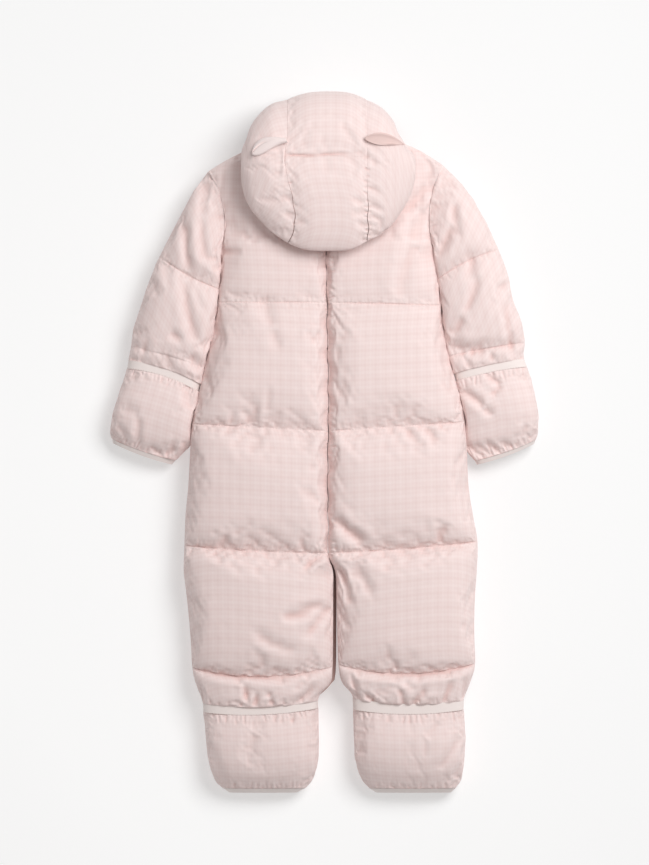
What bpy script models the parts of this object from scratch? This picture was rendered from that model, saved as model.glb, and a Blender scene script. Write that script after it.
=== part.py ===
"""Padded baby snowsuit, laid flat on its front.

Quilted back and front panels from shoulder to ankle, one-piece sleeves, fold-over hand and foot covers,
a three-piece hood with ears and a front zip.  Metres, +Z up, head towards +Y.
The tables are in millimetres and are scaled where they are read.
"""
import math
from collections import namedtuple

import bmesh
import bpy

MM = 0.001

# ---------------------------------------------------------------- driving dimensions (mm)
MIDDLE = 23.0            # level between the back layer and the front layer
LAYER_GAP = 1.0          # air between the two layers
SEAM_GAP = 0.4           # air between panels at a seam
SLEEVE_GAP = 1.1         # air between a sleeve's inner edge and the body
ARMHOLE_GAP = 1.0        # air between a sleeve's head and the body, enough for the facets of the curve
ZIP_HALF_GAP = 6.4       # from the zip's centre line to each front panel
ZIP_FOOT = (-82.0, -93.0)  # where the front opening closes to a plain seam
FRONT_NECK_DROP = 14.0   # front neckline below the back neckline
MIDDLE_SHARE = 0.52      # level of a thin tube's slot as a share of its height
EDGE_RIM = 3.5           # height of a layer at a plain outer edge
CENTRE_RIM = 5.0         # height of the back layer at its centre seam
ARMHOLE_RIM = 12.0       # height of a layer at the armhole
UNDER_DEPTH = 1.25       # how far the underside is pressed, as a share of the lower layer
PUFF_POWER = 2.5         # roundness of a channel across the garment
BAND_POWER = 3.4         # roundness of a band, squarer than what it goes round
CHANNEL_POWER = 2.6      # roundness of a channel along the garment
BAND_WALL = 2.6          # thickness of the elastic bands
UNDER_BAND = BAND_WALL + 1.0  # underside of a leg or sleeve where a band goes round it
BINDING_WALL = 4.0       # thickness of a binding at its side folds
HOOD_INNER_SHARE = 0.91  # width of the hood's hollow as a share of its own
COVER_WALL = 9.0         # padded wall at the side folds of sleeves and covers
HOOD_WALL = 8.0          # padded wall of the hood
HOOD_POLE = 62.0         # level of the hood's side folds
HOOD_SEAM_DIP = 4.0      # how far the hood is pinched at its seams
EAR_LIFT = 0.9           # air under an ear
EAR_THICK = 4.6          # thickness of a folded ear
EAR_EDGE = 1.6           # thickness of an ear at its edges
EAR_TIP_LIFT = 3.0       # how far an ear's tip stands off the hood
EAR_ROOT_PHASE = 0.16    # how far into its leaf shape an ear starts, so that its root has some width
EAR_ROUND = 0.8          # fullness of the leaf shape
EAR_TIP_SHARE = 0.07     # width of the tip as a share of the widest part
EAR_TIP_THIN = 0.6       # how much of its crown an ear loses towards the tip
TAPE_HALF = 5.2          # half the width of the zip tape that shows
TAPE_THICK = 1.2
TAPE_LEVEL = 19.0        # underside of the tape
TAPE_TOP_Y = 296.0
TAPE_FOOT_Y = -72.0
TAPE_STEP = 0.4
CHAIN_CLEARANCE = 1.0    # from the slider's lower end to the chain
CHAIN_HALF = 2.4         # half the width of the closed chain
CHAIN_HEIGHT = 2.2
SLIDER_Y = 282.0
SLIDER_WIDTH = 8.0
SLIDER_LENGTH = 11.0
SLIDER_HEIGHT = 5.4
SLIDER_FACE = 13.0       # level of the slider's outer face
SLIDER_BEVEL = 0.7
BRIDGE_WIDTH = 2.4
BRIDGE_LENGTH = 8.0
BRIDGE_DROP = 4.2
BRIDGE_ROOT = 1.0        # how far the bridge is sunk into the slider
EYE_LENGTH = 4.4         # opening of the bridge that holds the pull tab
EYE_HEIGHT = 2.8
HINGE_LEVEL = 11.5       # level of the pull tab's axis
TAB_WIDTH = 6.4
TAB_LENGTH = 20.0        # from the axis to the end of the tab
TAB_THICK = 1.4
TAB_BEVEL = 0.3
WINDOW_WIDTH = 3.4       # window of the tab that the bridge passes through
WINDOW_END = 5.2

# ---------------------------------------------------------------- section tables (mm)
# One row for each section across half of the body, shoulder to ankle.
# armhole: how far round the armhole the row ends, 0 at the shoulder tip and 1 under the arm, else None.
# bow: how far the row curves towards the head.  puff: top level.  under: level of the underside.
BodyRow = namedtuple("BodyRow", "centre_x centre_y side_x side_y armhole bow puff under", defaults=(0.0,))
LEFT_BODY = [
    BodyRow(2.1, 317.8, 0, 0, 0.0, 9.0, 36),
    BodyRow(2.1, 285.8, 0, 0, 0.22, 5.0, 38),
    BodyRow(2.1, 254.9, 0, 0, 0.52, 2.0, 41),
    BodyRow(2.1, 224.0, 0, 0, 0.80, 0.0, 44),
    BodyRow(2.1, 195.2, 0, 0, 1.0, 0.0, 49),
    BodyRow(2.1, 169.4, -107.4, 165.3, None, 0.0, 51),
    BodyRow(3.1, 143.7, -108.9, 143.7, None, 0.0, 51),
    BodyRow(3.6, 113.8, -112.9, 116.9, None, 0.0, 53),
    BodyRow(4.1, 79.8, -121.2, 81.9, None, 0.0, 54),
    BodyRow(4.1, 43.8, -129.3, 46.9, None, 0.0, 54),
    BodyRow(4.1, 11.8, -135.5, 19.1, None, 0.0, 54),
    BodyRow(4.1, -18.0, -137.6, -12.9, None, 0.0, 55),
    BodyRow(4.1, -48.9, -139.6, -46.9, None, 0.0, 55),
    BodyRow(4.1, -79.8, -142.3, -74.7, None, 0.0, 55),
    BodyRow(4.4, -112.8, -143.4, -105.6, None, -2.0, 54),
    BodyRow(8.6, -133.4, -144.0, -132.4, None, -3.0, 54),
    BodyRow(9.2, -159.1, -140.6, -162.2, None, -5.0, 54),
    BodyRow(9.0, -195.2, -137.2, -198.3, None, -8.0, 53),
    BodyRow(9.0, -230.2, -135.2, -231.2, None, -10.0, 50),
    BodyRow(6.6, -246.0, -130.8, -249.8, None, -7.0, 47),
    BodyRow(-4.6, -257.6, -125.6, -261.0, None, -4.5, 43),
    BodyRow(-10.6, -262.6, -119.4, -265.6, None, -4.5, 34, UNDER_BAND),
    BodyRow(-10.8, -271.6, -119.0, -275.4, None, -4.5, 34, UNDER_BAND),
]
RIGHT_BODY = [
    BodyRow(2.1, 317.8, 0, 0, 0.0, 11.5, 36),
    BodyRow(2.1, 285.8, 0, 0, 0.22, 6.0, 38),
    BodyRow(2.1, 254.9, 0, 0, 0.52, 2.0, 41),
    BodyRow(2.1, 224.0, 0, 0, 0.80, 0.0, 44),
    BodyRow(2.1, 195.2, 0, 0, 1.0, 0.0, 49),
    BodyRow(2.1, 169.4, 117.3, 167.4, None, 0.0, 51),
    BodyRow(3.1, 143.7, 119.9, 140.6, None, 0.0, 51),
    BodyRow(3.6, 113.8, 123.3, 115.9, None, 0.0, 53),
    BodyRow(4.1, 79.8, 129.8, 82.9, None, 0.0, 54),
    BodyRow(4.1, 43.8, 139.6, 46.9, None, 0.0, 54),
    BodyRow(4.1, 11.8, 144.6, 21.1, None, 0.0, 54),
    BodyRow(4.1, -18.0, 146.8, -9.8, None, 0.0, 55),
    BodyRow(4.1, -48.9, 148.4, -44.8, None, 0.0, 55),
    BodyRow(4.1, -79.8, 153.0, -74.7, None, 0.0, 55),
    BodyRow(4.4, -112.8, 157.6, -101.5, None, -2.0, 54),
    BodyRow(12.0, -133.4, 157.0, -130.3, None, -3.0, 54),
    BodyRow(13.4, -159.1, 154.9, -160.2, None, -5.0, 54),
    BodyRow(13.8, -195.2, 154.3, -195.2, None, -8.0, 53),
    BodyRow(14.6, -228.1, 155.2, -227.1, None, -10.0, 50),
    BodyRow(18.5, -245.7, 150.4, -245.7, None, -7.0, 47),
    BodyRow(28.4, -256.2, 144.4, -257.6, None, -4.5, 43),
    BodyRow(34.4, -261.0, 138.6, -262.4, None, -4.5, 34, UNDER_BAND),
    BodyRow(34.8, -272.8, 138.4, -272.8, None, -4.5, 34, UNDER_BAND),
]
# Rows where the layers are stitched through, and how much of the puff is left there.
BodyChannel = namedtuple("BodyChannel", "start end start_puff end_puff")
BODY_CHANNELS = [
    BodyChannel(0, 6, 0.05, 0.86),
    BodyChannel(6, 10, 0.86, 0.52),
    BodyChannel(10, 14, 0.52, 0.50),
    BodyChannel(14, 18, 0.50, 0.50),
    BodyChannel(18, 20, 0.50, 0.62),
    BodyChannel(20, 22, 0.95, 0.95),
]
ARMHOLE_END_ROW = 4
LEG_ROW = 14

# The armhole runs from the shoulder tip to the underarm and bows towards the body.
Armhole = namedtuple("Armhole", "tip_x tip_y under_x under_y bow")
ARMHOLES = {
    "left": Armhole(-119.0, 278.6, -106.4, 196.2, 9.5),
    "right": Armhole(122.6, 284.6, 112.6, 198.0, 9.0),
}

# One row for each section across a sleeve, armhole to wrist; the inner edge follows the body's side.
TubeRow = namedtuple("TubeRow", "inner_x inner_y outer_x outer_y bow top puff under", defaults=(0.0,))
LEFT_SLEEVE = [
    TubeRow(None, 196.2, -119.0, 278.6, 9.5, 36, 1.0),
    TubeRow(None, 181.8, -134.9, 256.0, 4.5, 44, 1.0),
    TubeRow(None, 170.5, -151.4, 225.6, 1.0, 47, 1.0),
    TubeRow(None, 157.1, -168.9, 191.1, -3.0, 45, 0.60),
    TubeRow(None, 134.4, -180.2, 164.3, 0.0, 47, 1.0),
    TubeRow(None, 113.8, -188.5, 139.6, 0.0, 47, 1.0),
    TubeRow(None, 92.0, -195.7, 116.9, 1.0, 45, 1.0),
    TubeRow(None, 75.7, -198.3, 98.4, 2.0, 42, 0.64),
    TubeRow(None, 66.6, -199.9, 91.0, 3.0, 40, 1.0),
    TubeRow(-130.3, 63.4, -196.0, 84.6, 4.0, 31, 1.0, UNDER_BAND),
    TubeRow(-133.2, 54.8, -197.4, 75.8, 4.0, 31, 1.0, UNDER_BAND),
]
RIGHT_SLEEVE = [
    TubeRow(None, 198.0, 122.6, 284.6, 9.0, 36, 1.0),
    TubeRow(None, 185.9, 144.2, 262.1, 4.5, 44, 1.0),
    TubeRow(None, 177.7, 163.8, 231.2, 1.0, 47, 1.0),
    TubeRow(None, 167.4, 179.2, 198.3, 3.0, 45, 0.60),
    TubeRow(None, 146.8, 188.5, 173.6, 0.0, 47, 1.0),
    TubeRow(None, 126.2, 194.2, 146.8, 0.0, 47, 1.0),
    TubeRow(None, 105.6, 202.9, 124.1, 0.0, 45, 1.0),
    TubeRow(None, 88.1, 206.3, 102.5, 1.0, 42, 0.64),
    TubeRow(None, 77.4, 205.0, 92.4, 1.0, 40, 1.0),
    TubeRow(138.3, 73.4, 200.9, 86.4, 2.0, 31, 1.0, UNDER_BAND),
    TubeRow(142.3, 64.8, 203.8, 77.8, 2.0, 31, 1.0, UNDER_BAND),
]
# Covers, from the gathered edge at the band to the mouth.
LEFT_MITT = [
    TubeRow(-129.9, 51.3, -202.4, 75.5, 4.0, 34, 1.0),
    TubeRow(-131.6, 43.0, -207.0, 61.3, 4.0, 40, 1.0),
    TubeRow(-134.8, 29.4, -212.2, 45.8, 3.0, 42, 1.0),
    TubeRow(-137.4, 14.9, -216.8, 30.4, 1.0, 41, 1.0),
    TubeRow(-138.6, -0.5, -219.6, 15.0, -2.0, 36, 1.0),
    TubeRow(-144.4, -10.4, -219.4, 7.0, -3.0, 28, 1.0),
    TubeRow(-152.6, -18.4, -217.8, 3.6, -2.0, 20, 1.0),
]
RIGHT_MITT = [
    TubeRow(137.8, 62.2, 209.0, 77.0, 2.0, 34, 1.0),
    TubeRow(140.2, 51.0, 213.2, 63.3, 2.0, 40, 1.0),
    TubeRow(143.4, 36.6, 217.3, 46.9, 2.0, 42, 1.0),
    TubeRow(146.2, 22.1, 220.0, 31.4, 1.0, 41, 1.0),
    TubeRow(147.6, 5.0, 220.2, 17.0, -2.0, 36, 1.0),
    TubeRow(149.0, -8.4, 219.4, 8.0, -3.0, 28, 1.0),
    TubeRow(155.0, -18.6, 217.6, 2.6, -2.0, 20, 1.0),
]
LEFT_BOOTIE = [
    TubeRow(-5.9, -273.3, -124.0, -277.6, -4.5, 37, 1.0),
    TubeRow(-5.6, -288.0, -122.4, -291.0, -3.0, 43, 1.0),
    TubeRow(-5.2, -308.0, -121.0, -309.0, 0.0, 46, 1.0),
    TubeRow(-5.8, -325.0, -118.6, -327.0, 0.0, 45, 1.0),
    TubeRow(-8.8, -338.0, -114.8, -340.4, 0.0, 40, 1.0),
    TubeRow(-13.4, -348.6, -110.0, -349.7, 0.0, 32, 1.0),
    TubeRow(-19.4, -355.4, -104.0, -355.4, 0.0, 22, 1.0),
]
RIGHT_BOOTIE = [
    TubeRow(30.0, -275.0, 143.5, -275.0, -4.5, 37, 1.0),
    TubeRow(30.2, -289.9, 144.7, -289.9, -3.0, 43, 1.0),
    TubeRow(31.0, -308.0, 145.2, -306.4, 0.0, 46, 1.0),
    TubeRow(32.0, -323.9, 144.4, -322.8, 0.0, 45, 1.0),
    TubeRow(35.4, -337.3, 143.0, -336.2, 0.0, 40, 1.0),
    TubeRow(40.8, -348.6, 140.2, -347.6, 0.0, 32, 1.0),
    TubeRow(46.4, -355.4, 135.4, -355.4, 0.0, 22, 1.0),
]
# Elastic bands over the gathers and narrow bindings at the mouths.
BANDS = {
    "mitt_band_left": [
        TubeRow(-127.6, 60.6, -200.9, 84.8, 4.0, 39, 1.0),
        TubeRow(-129.6, 52.0, -202.3, 76.2, 4.0, 39, 1.0),
    ],
    "mitt_band_right": [
        TubeRow(134.4, 71.4, 205.6, 86.2, 2.0, 39, 1.0),
        TubeRow(137.4, 62.9, 208.6, 77.8, 2.0, 39, 1.0),
    ],
    "bootie_band_left": [
        TubeRow(-6.2, -263.8, -124.7, -266.9, -4.5, 42, 1.0),
        TubeRow(-5.9, -272.7, -124.0, -277.0, -4.5, 42, 1.0),
    ],
    "bootie_band_right": [
        TubeRow(29.4, -262.3, 143.8, -263.8, -4.5, 42, 1.0),
        TubeRow(29.9, -274.3, 143.5, -274.3, -4.5, 42, 1.0),
    ],
}
BINDINGS = {
    "mitt_binding_left": [
        TubeRow(-153.0, -19.0, -217.9, 3.0, -2.0, 19, 1.0),
        TubeRow(-156.6, -22.6, -217.3, -0.6, -2.0, 11, 1.0),
    ],
    "mitt_binding_right": [
        TubeRow(155.2, -19.2, 217.5, 2.0, -2.0, 19, 1.0),
        TubeRow(157.4, -22.8, 216.0, -1.4, -2.0, 11, 1.0),
    ],
    "bootie_binding_left": [
        TubeRow(-20.0, -356.0, -103.4, -356.0, 0.0, 21, 1.0),
        TubeRow(-27.6, -360.0, -97.4, -360.0, 0.0, 12, 1.0),
    ],
    "bootie_binding_right": [
        TubeRow(47.0, -356.0, 134.8, -356.0, 0.0, 21, 1.0),
        TubeRow(53.4, -360.0, 130.6, -360.0, 0.0, 12, 1.0),
    ],
}

# One row for each slice across the hood, left to right.
# fullness: the slice's height as a share of the middle's.
HoodSlice = namedtuple("HoodSlice", "x crown_y fold_y fullness")
HOOD = [
    HoodSlice(-85.0, 287.9, 276.6, 0.12),
    HoodSlice(-83.4, 300.2, 264.2, 0.26),
    HoodSlice(-80.0, 310.5, 251.0, 0.42),
    HoodSlice(-74.6, 325.0, 239.0, 0.62),
    HoodSlice(-66.0, 340.6, 228.6, 0.78),
    HoodSlice(-53.6, 349.9, 215.8, 0.90),
    HoodSlice(-37.4, 354.6, 201.9, 0.97),
    HoodSlice(-18.0, 358.6, 197.0, 1.0),
    HoodSlice(4.1, 360.0, 196.2, 1.0),
    HoodSlice(26.0, 358.8, 197.2, 1.0),
    HoodSlice(44.3, 353.9, 203.2, 0.97),
    HoodSlice(59.0, 347.4, 212.6, 0.90),
    HoodSlice(71.0, 338.0, 224.2, 0.80),
    HoodSlice(79.6, 322.6, 235.8, 0.60),
    HoodSlice(86.6, 309.4, 247.4, 0.40),
    HoodSlice(91.2, 299.4, 259.4, 0.25),
    HoodSlice(93.6, 288.4, 272.4, 0.12),
]
HOOD_PANELS = {"hood_side_left": (0, 6), "hood_centre": (6, 10), "hood_side_right": (10, 16)}
# One row for each point down a slice: share of the way from the fold to the crown, and level in mm.
ProfilePoint = namedtuple("ProfilePoint", "along level")
HOOD_PROFILE = [
    ProfilePoint(0.895, 2.0),
    ProfilePoint(0.955, 1.0),
    ProfilePoint(0.990, 9.0),
    ProfilePoint(1.000, 30.0),
    ProfilePoint(0.965, 56.0),
    ProfilePoint(0.850, 76.0),
    ProfilePoint(0.640, 87.0),
    ProfilePoint(0.400, 90.0),
    ProfilePoint(0.170, 86.0),
    ProfilePoint(0.035, 78.0),
    ProfilePoint(0.000, 69.0),
    ProfilePoint(0.055, 59.5),
    ProfilePoint(0.300, 56.0),
    ProfilePoint(0.680, 50.0),
]
HOOD_QUILT_ROW = 6.2     # place of the cross quilting on the middle panel, counted in profile points
HOOD_QUILT_WIDTH = 0.4
HOOD_SEAM_WIDTH = 0.7
HOOD_MIDDLE_ROW = 8
HOOD_CROWN_PLACE = 3.0
HOOD_FOLD_PLACE = 10.0
PROFILE_STEP = 0.05
SOLVE_STEPS = 40

# Each ear: root end and tip on the hood, the width across its middle, and how far it bends sideways.
Ear = namedtuple("Ear", "root_x root_y tip_x tip_y width bend")
EARS = {
    "ear_left": Ear(-38.4, 305.0, -72.6, 294.6, 15.5, -3.5),
    "ear_right": Ear(45.2, 309.6, 81.6, 303.6, 12.5, 3.0),
}

# Largest folds: troughs pressed into the upper surface.
Fold = namedtuple("Fold", "x0 y0 x1 y1 width depth")
BODY_FOLDS = [
    Fold(113.0, 281.0, 78.0, 231.0, 7.0, 5.0),
    Fold(101.0, 240.0, 76.0, 142.0, 8.0, 4.5),
    Fold(10.0, -76.0, 42.0, -104.0, 7.0, 5.0),
    Fold(3.0, -164.0, -45.0, -178.0, 7.0, 5.0),
    Fold(8.0, -168.0, -17.0, -198.0, 7.0, 5.0),
    Fold(-73.0, -193.0, -22.0, -215.0, 8.0, 4.0),
    Fold(20.0, -142.0, 24.0, -165.0, 6.0, 6.0),
    Fold(35.0, -148.0, 47.0, -168.0, 7.0, 5.0),
    Fold(49.0, -122.0, 74.0, -148.0, 7.0, 4.0),
    Fold(-6.0, -118.0, -24.0, -132.0, 6.0, 4.0),
]
SLEEVE_FOLDS = {
    "left": [
        Fold(-143.0, 222.0, -138.0, 172.0, 6.0, 5.0),
        Fold(-139.0, 168.0, -130.0, 106.0, 7.0, 5.0),
        Fold(-121.0, 262.0, -127.0, 211.0, 6.0, 5.0),
    ],
    "right": [
        Fold(135.0, 246.0, 119.0, 192.0, 7.0, 5.0),
        Fold(158.0, 178.0, 150.0, 150.0, 6.0, 4.5),
        Fold(186.0, 122.0, 196.0, 92.0, 6.0, 4.0),
    ],
}
# Gathers: waves round a cover at its band and at its mouth, and how deep they are.
MITT_GATHERS = 7
BOOTIE_GATHERS = 9
GATHER_SHARE = 0.075     # half the depth of a gather as a share of the cover's puff
GATHER_FADE = 1.6        # how fast a gather runs out along the cover, for each row
MOUTH_GATHER = 0.8       # depth of the gathers at the mouth as a share of those at the band
STITCH_SLOPE = 1.6       # how fast a sleeve rises from its stitched rows
STITCH_ROUND = 0.6       # and how round that rise is
MERGE = 1e-6             # points closer than this are one, in metres
SHARP_ANGLE = 50.0       # edges sharper than this stay crisp, in degrees

# ---------------------------------------------------------------- resolution
BODY_COLUMNS = 14
FRONT_COLUMNS = 8
BACK_ROW_STEP = 15.0
FRONT_ROW_STEP = 24.0
ARMHOLE_ROW_STEP = 12.0
TUBE_TOP = 14
TUBE_UNDER = 8
MITT_TOP = 22
BOOTIE_TOP = 28
COVER_UNDER = 8
BAND_UNDER = 12
HOOD_PANEL_COLUMNS = 7
HOOD_ROWS = 22
EAR_COLUMNS = 7
EAR_ROWS = 4
TAPE_ROWS = 12

# ---------------------------------------------------------------- colours: base colour, roughness, metallic
SHELL_CLOTH = ((0.80, 0.62, 0.60, 1.0), 0.55, 0.0)
BAND_CLOTH = ((0.86, 0.74, 0.72, 1.0), 0.65, 0.0)
EAR_CLOTH = ((0.88, 0.76, 0.74, 1.0), 0.60, 0.0)
ZIP_CLOTH = ((0.78, 0.60, 0.58, 1.0), 0.70, 0.0)
ZIP_METAL = ((0.62, 0.60, 0.60, 1.0), 0.35, 1.0)


# ---------------------------------------------------------------- scene set-up
def clear_scene():
    """Remove whatever the file holds."""
    for obj in list(bpy.data.objects):
        bpy.data.objects.remove(obj, do_unlink=True)


def new_collection(name):
    """Add a collection to the scene."""
    collection = bpy.data.collections.new(name)
    bpy.context.scene.collection.children.link(collection)
    return collection


def cloth_material(name, finish):
    """Make a Principled material from a base colour, a roughness and a metallic value."""
    colour, roughness, metallic = finish
    material = bpy.data.materials.new(name)
    material.use_nodes = True
    shader = material.node_tree.nodes["Principled BSDF"]
    shader.inputs["Base Color"].default_value = colour
    shader.inputs["Roughness"].default_value = roughness
    shader.inputs["Metallic"].default_value = metallic
    material.diffuse_color = colour
    return material


def add_object(name, bm, finish, collection, smooth=True):
    """Turn a bmesh into a named object with its own material."""
    bmesh.ops.recalc_face_normals(bm, faces=bm.faces[:])
    mesh = bpy.data.meshes.new(name)
    bm.to_mesh(mesh)
    bm.free()
    if smooth:
        mesh.shade_smooth()
        mesh.set_sharp_from_angle(angle=math.radians(SHARP_ANGLE))
    mesh.materials.append(cloth_material(name + "_material", finish))
    obj = bpy.data.objects.new(name, mesh)
    collection.objects.link(obj)
    return obj


# ---------------------------------------------------------------- curves and heights
def spline(values, place):
    """Read a smooth curve through evenly numbered values."""
    last = len(values) - 1
    place = min(max(place, 0.0), float(last))
    index = min(int(place), last - 1)
    t = place - index
    before = values[max(index - 1, 0)]
    a = values[index]
    b = values[index + 1]
    after = values[min(index + 2, last)]
    slope_a = 0.5 * (b - before)
    slope_b = 0.5 * (after - a)
    return (
        (2 * t ** 3 - 3 * t ** 2 + 1) * a + (t ** 3 - 2 * t ** 2 + t) * slope_a
        + (3 * t ** 2 - 2 * t ** 3) * b + (t ** 3 - t ** 2) * slope_b
    )


def column(rows, name, place):
    """Read one named column of a table at a place between its rows."""
    return spline([getattr(row, name) for row in rows], place)


def rounded(t, power):
    """Height of a rounded hump across 0 to 1: nought at both ends and one in the middle."""
    away = min(abs(2.0 * t - 1.0), 1.0)
    return max(1.0 - away ** power, 0.0) ** (1.0 / power)


def bowed_line(start, end, bow, t):
    """Point on the line from start to end, bowed to the left of its direction."""
    along = (end[0] - start[0], end[1] - start[1])
    length = math.hypot(*along)
    lift = bow * 4.0 * t * (1.0 - t)
    x = start[0] + along[0] * t - along[1] / length * lift
    y = start[1] + along[1] * t + along[0] / length * lift
    return x, y


def fold_dip(x, y, folds):
    """Depth of the folds at a point: a soft trough that runs out at both ends."""
    dip = 0.0
    for fold in folds:
        along = (fold.x1 - fold.x0, fold.y1 - fold.y0)
        length_squared = along[0] ** 2 + along[1] ** 2
        t = ((x - fold.x0) * along[0] + (y - fold.y0) * along[1]) / length_squared
        t = min(max(t, 0.0), 1.0)
        distance = math.hypot(x - fold.x0 - along[0] * t, y - fold.y0 - along[1] * t)
        dip = max(dip, fold.depth * math.exp(-(distance / fold.width) ** 2))
    return dip


# ---------------------------------------------------------------- body panels
def armhole_point(side, fraction, gap):
    """Point on the armhole seam, moved by gap towards the body."""
    armhole = ARMHOLES[side]
    inward = 1.0 if side == "left" else -1.0
    start = (armhole.tip_x, armhole.tip_y)
    end = (armhole.under_x, armhole.under_y)
    x, y = bowed_line(start, end, inward * armhole.bow, fraction)
    return x + inward * gap, y


def body_table(side):
    """The half body's rows with the armhole's points filled in."""
    rows = LEFT_BODY if side == "left" else RIGHT_BODY
    filled = []
    for row in rows:
        if row.armhole is not None:
            x, y = armhole_point(side, row.armhole, ARMHOLE_GAP)
            row = row._replace(side_x=x, side_y=y)
        filled.append(row)
    return filled


def side_edge_x(side, y):
    """X of the body's side edge at a level below the underarm."""
    rows = body_table(side)[ARMHOLE_END_ROW:]
    for upper, lower in zip(rows, rows[1:]):
        if upper.side_y >= y >= lower.side_y:
            share = (upper.side_y - y) / (upper.side_y - lower.side_y)
            return upper.side_x + (lower.side_x - upper.side_x) * share
    return rows[0].side_x


def channel_puff(place):
    """Share of the full puff at a place down the body, low where the layers are stitched through."""
    for channel in BODY_CHANNELS:
        if place <= channel.end:
            t = (place - channel.start) / (channel.end - channel.start)
            ends = channel.start_puff + (channel.end_puff - channel.start_puff) * t
            return ends + (1.0 - ends) * rounded(t, CHANNEL_POWER)
    return BODY_CHANNELS[-1].end_puff


def row_places(rows, step):
    """Places down the body where a panel has a row of points, closer together at the stitched rows."""
    places = [0.0]
    for channel in BODY_CHANNELS:
        length = abs(rows[channel.start].side_y - rows[channel.end].side_y)
        count = max(2, round(length / (step if channel.start else ARMHOLE_ROW_STEP)))
        for index in range(1, count + 1):
            share = 0.5 - 0.5 * math.cos(math.pi * index / count)
            places.append(channel.start + (channel.end - channel.start) * share)
    return places


def centre_gap(y, is_front):
    """Half the gap at the centre line: the zip's opening on the front, a plain seam elsewhere."""
    if not is_front:
        return SEAM_GAP
    share = (y - ZIP_FOOT[1]) / (ZIP_FOOT[0] - ZIP_FOOT[1])
    share = min(max(share, 0.0), 1.0)
    return SEAM_GAP + (ZIP_HALF_GAP - SEAM_GAP) * share


def body_point(side, rows, place, t, is_front):
    """Place in plan and share of height of a body panel's point; t runs from the centre to the side."""
    outward = -1.0 if side == "left" else 1.0
    centre_y = column(rows, "centre_y", place)
    if is_front:
        centre_y -= FRONT_NECK_DROP * max(0.0, 1.0 - place)
    centre_x = column(rows, "centre_x", place)
    if place <= LEG_ROW:
        centre_x += outward * centre_gap(centre_y, is_front)
    side_x = column(rows, "side_x", place)
    side_y = column(rows, "side_y", place)
    bow = column(rows, "bow", place) * outward
    x, y = bowed_line((centre_x, centre_y), (side_x, side_y), bow, t)
    if place < ARMHOLE_END_ROW:
        side_rim = EDGE_RIM + (ARMHOLE_RIM - EDGE_RIM) * rounded(place / ARMHOLE_END_ROW, PUFF_POWER)
    else:
        side_rim = EDGE_RIM
    centre_rim = CENTRE_RIM if place < LEG_ROW else EDGE_RIM
    rim = centre_rim + (side_rim - centre_rim) * t
    share = rounded(t, PUFF_POWER) * channel_puff(place)
    return x, y, rim, share


def close_layer(bm, level):
    """Close a puffed layer with its flat inner face at the given level."""
    rim = [edge for edge in bm.edges if edge.is_boundary]
    walls = bmesh.ops.extrude_edge_only(bm, edges=rim)
    for item in walls["geom"]:
        if isinstance(item, bmesh.types.BMVert):
            item.co.z = level * MM
    base = [item for item in walls["geom"] if isinstance(item, bmesh.types.BMEdge)]
    base = [edge for edge in base if edge.is_boundary]
    bmesh.ops.contextual_create(bm, geom=base)


def add_mapped_grid(bm, columns, rows, place):
    """Add a grid whose points are set by a function of their column and row numbers."""
    grid = bmesh.ops.create_grid(bm, x_segments=columns, y_segments=rows, size=0.5)
    for vert in grid["verts"]:
        i = round((vert.co.x + 0.5) * columns)
        j = round((vert.co.y + 0.5) * rows)
        vert.co = [value * MM for value in place(i, j)]


def mapped_grid(columns, rows, place):
    """One mapped grid in a bmesh of its own."""
    bm = bmesh.new()
    add_mapped_grid(bm, columns, rows, place)
    return bm


def two_skin_wall(columns, rows, outer, inner):
    """A closed wall: an outer skin and an inner skin joined all round their edges."""
    bm = bmesh.new()
    add_mapped_grid(bm, columns, rows, outer)
    add_mapped_grid(bm, columns, rows, inner)
    rims = [edge for edge in bm.edges if edge.is_boundary]
    bmesh.ops.bridge_loops(bm, edges=rims)
    return bm


def build_back(side, collection):
    """Half back: puffed upwards from a flat inner face, with the stitched rows and the largest folds."""
    rows = body_table(side)
    places = row_places(rows, BACK_ROW_STEP)
    level = MIDDLE + LAYER_GAP / 2

    def surface(i, j):
        t = 0.5 - 0.5 * math.cos(math.pi * i / BODY_COLUMNS)
        place = places[j]
        x, y, rim, share = body_point(side, rows, place, t, False)
        height = column(rows, "puff", place) - level - rim
        z = level + rim + height * share - fold_dip(x, y, BODY_FOLDS) * share
        return x, y, z

    bm = mapped_grid(BODY_COLUMNS, len(places) - 1, surface)
    close_layer(bm, level)
    add_object("back_" + side, bm, SHELL_CLOTH, collection)


def build_front(side, collection):
    """Half front: puffed downwards, its underside pressed flat at level nought."""
    rows = body_table(side)
    places = row_places(rows, FRONT_ROW_STEP)
    level = MIDDLE - LAYER_GAP / 2

    def surface(i, j):
        t = 0.5 - 0.5 * math.cos(math.pi * i / FRONT_COLUMNS)
        place = places[j]
        x, y, rim, share = body_point(side, rows, place, t, True)
        z = level - rim - (level - rim) * UNDER_DEPTH * share
        return x, y, max(z, column(rows, "under", place), 0.0)

    bm = mapped_grid(FRONT_COLUMNS, len(places) - 1, surface)
    close_layer(bm, level)
    add_object("front_" + side, bm, SHELL_CLOTH, collection)


# ---------------------------------------------------------------- sleeves, covers, bands and bindings
def tube_table(rows, side):
    """A tube's rows with the missing inner edges set beside the body's side edge."""
    gap = SLEEVE_GAP if side == "right" else -SLEEVE_GAP
    filled = []
    for index, row in enumerate(rows):
        if row.inner_x is None and index == 0:
            row = row._replace(inner_x=ARMHOLES[side].under_x)
        elif row.inner_x is None:
            row = row._replace(inner_x=side_edge_x(side, row.inner_y) + gap)
        filled.append(row)
    return filled


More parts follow.
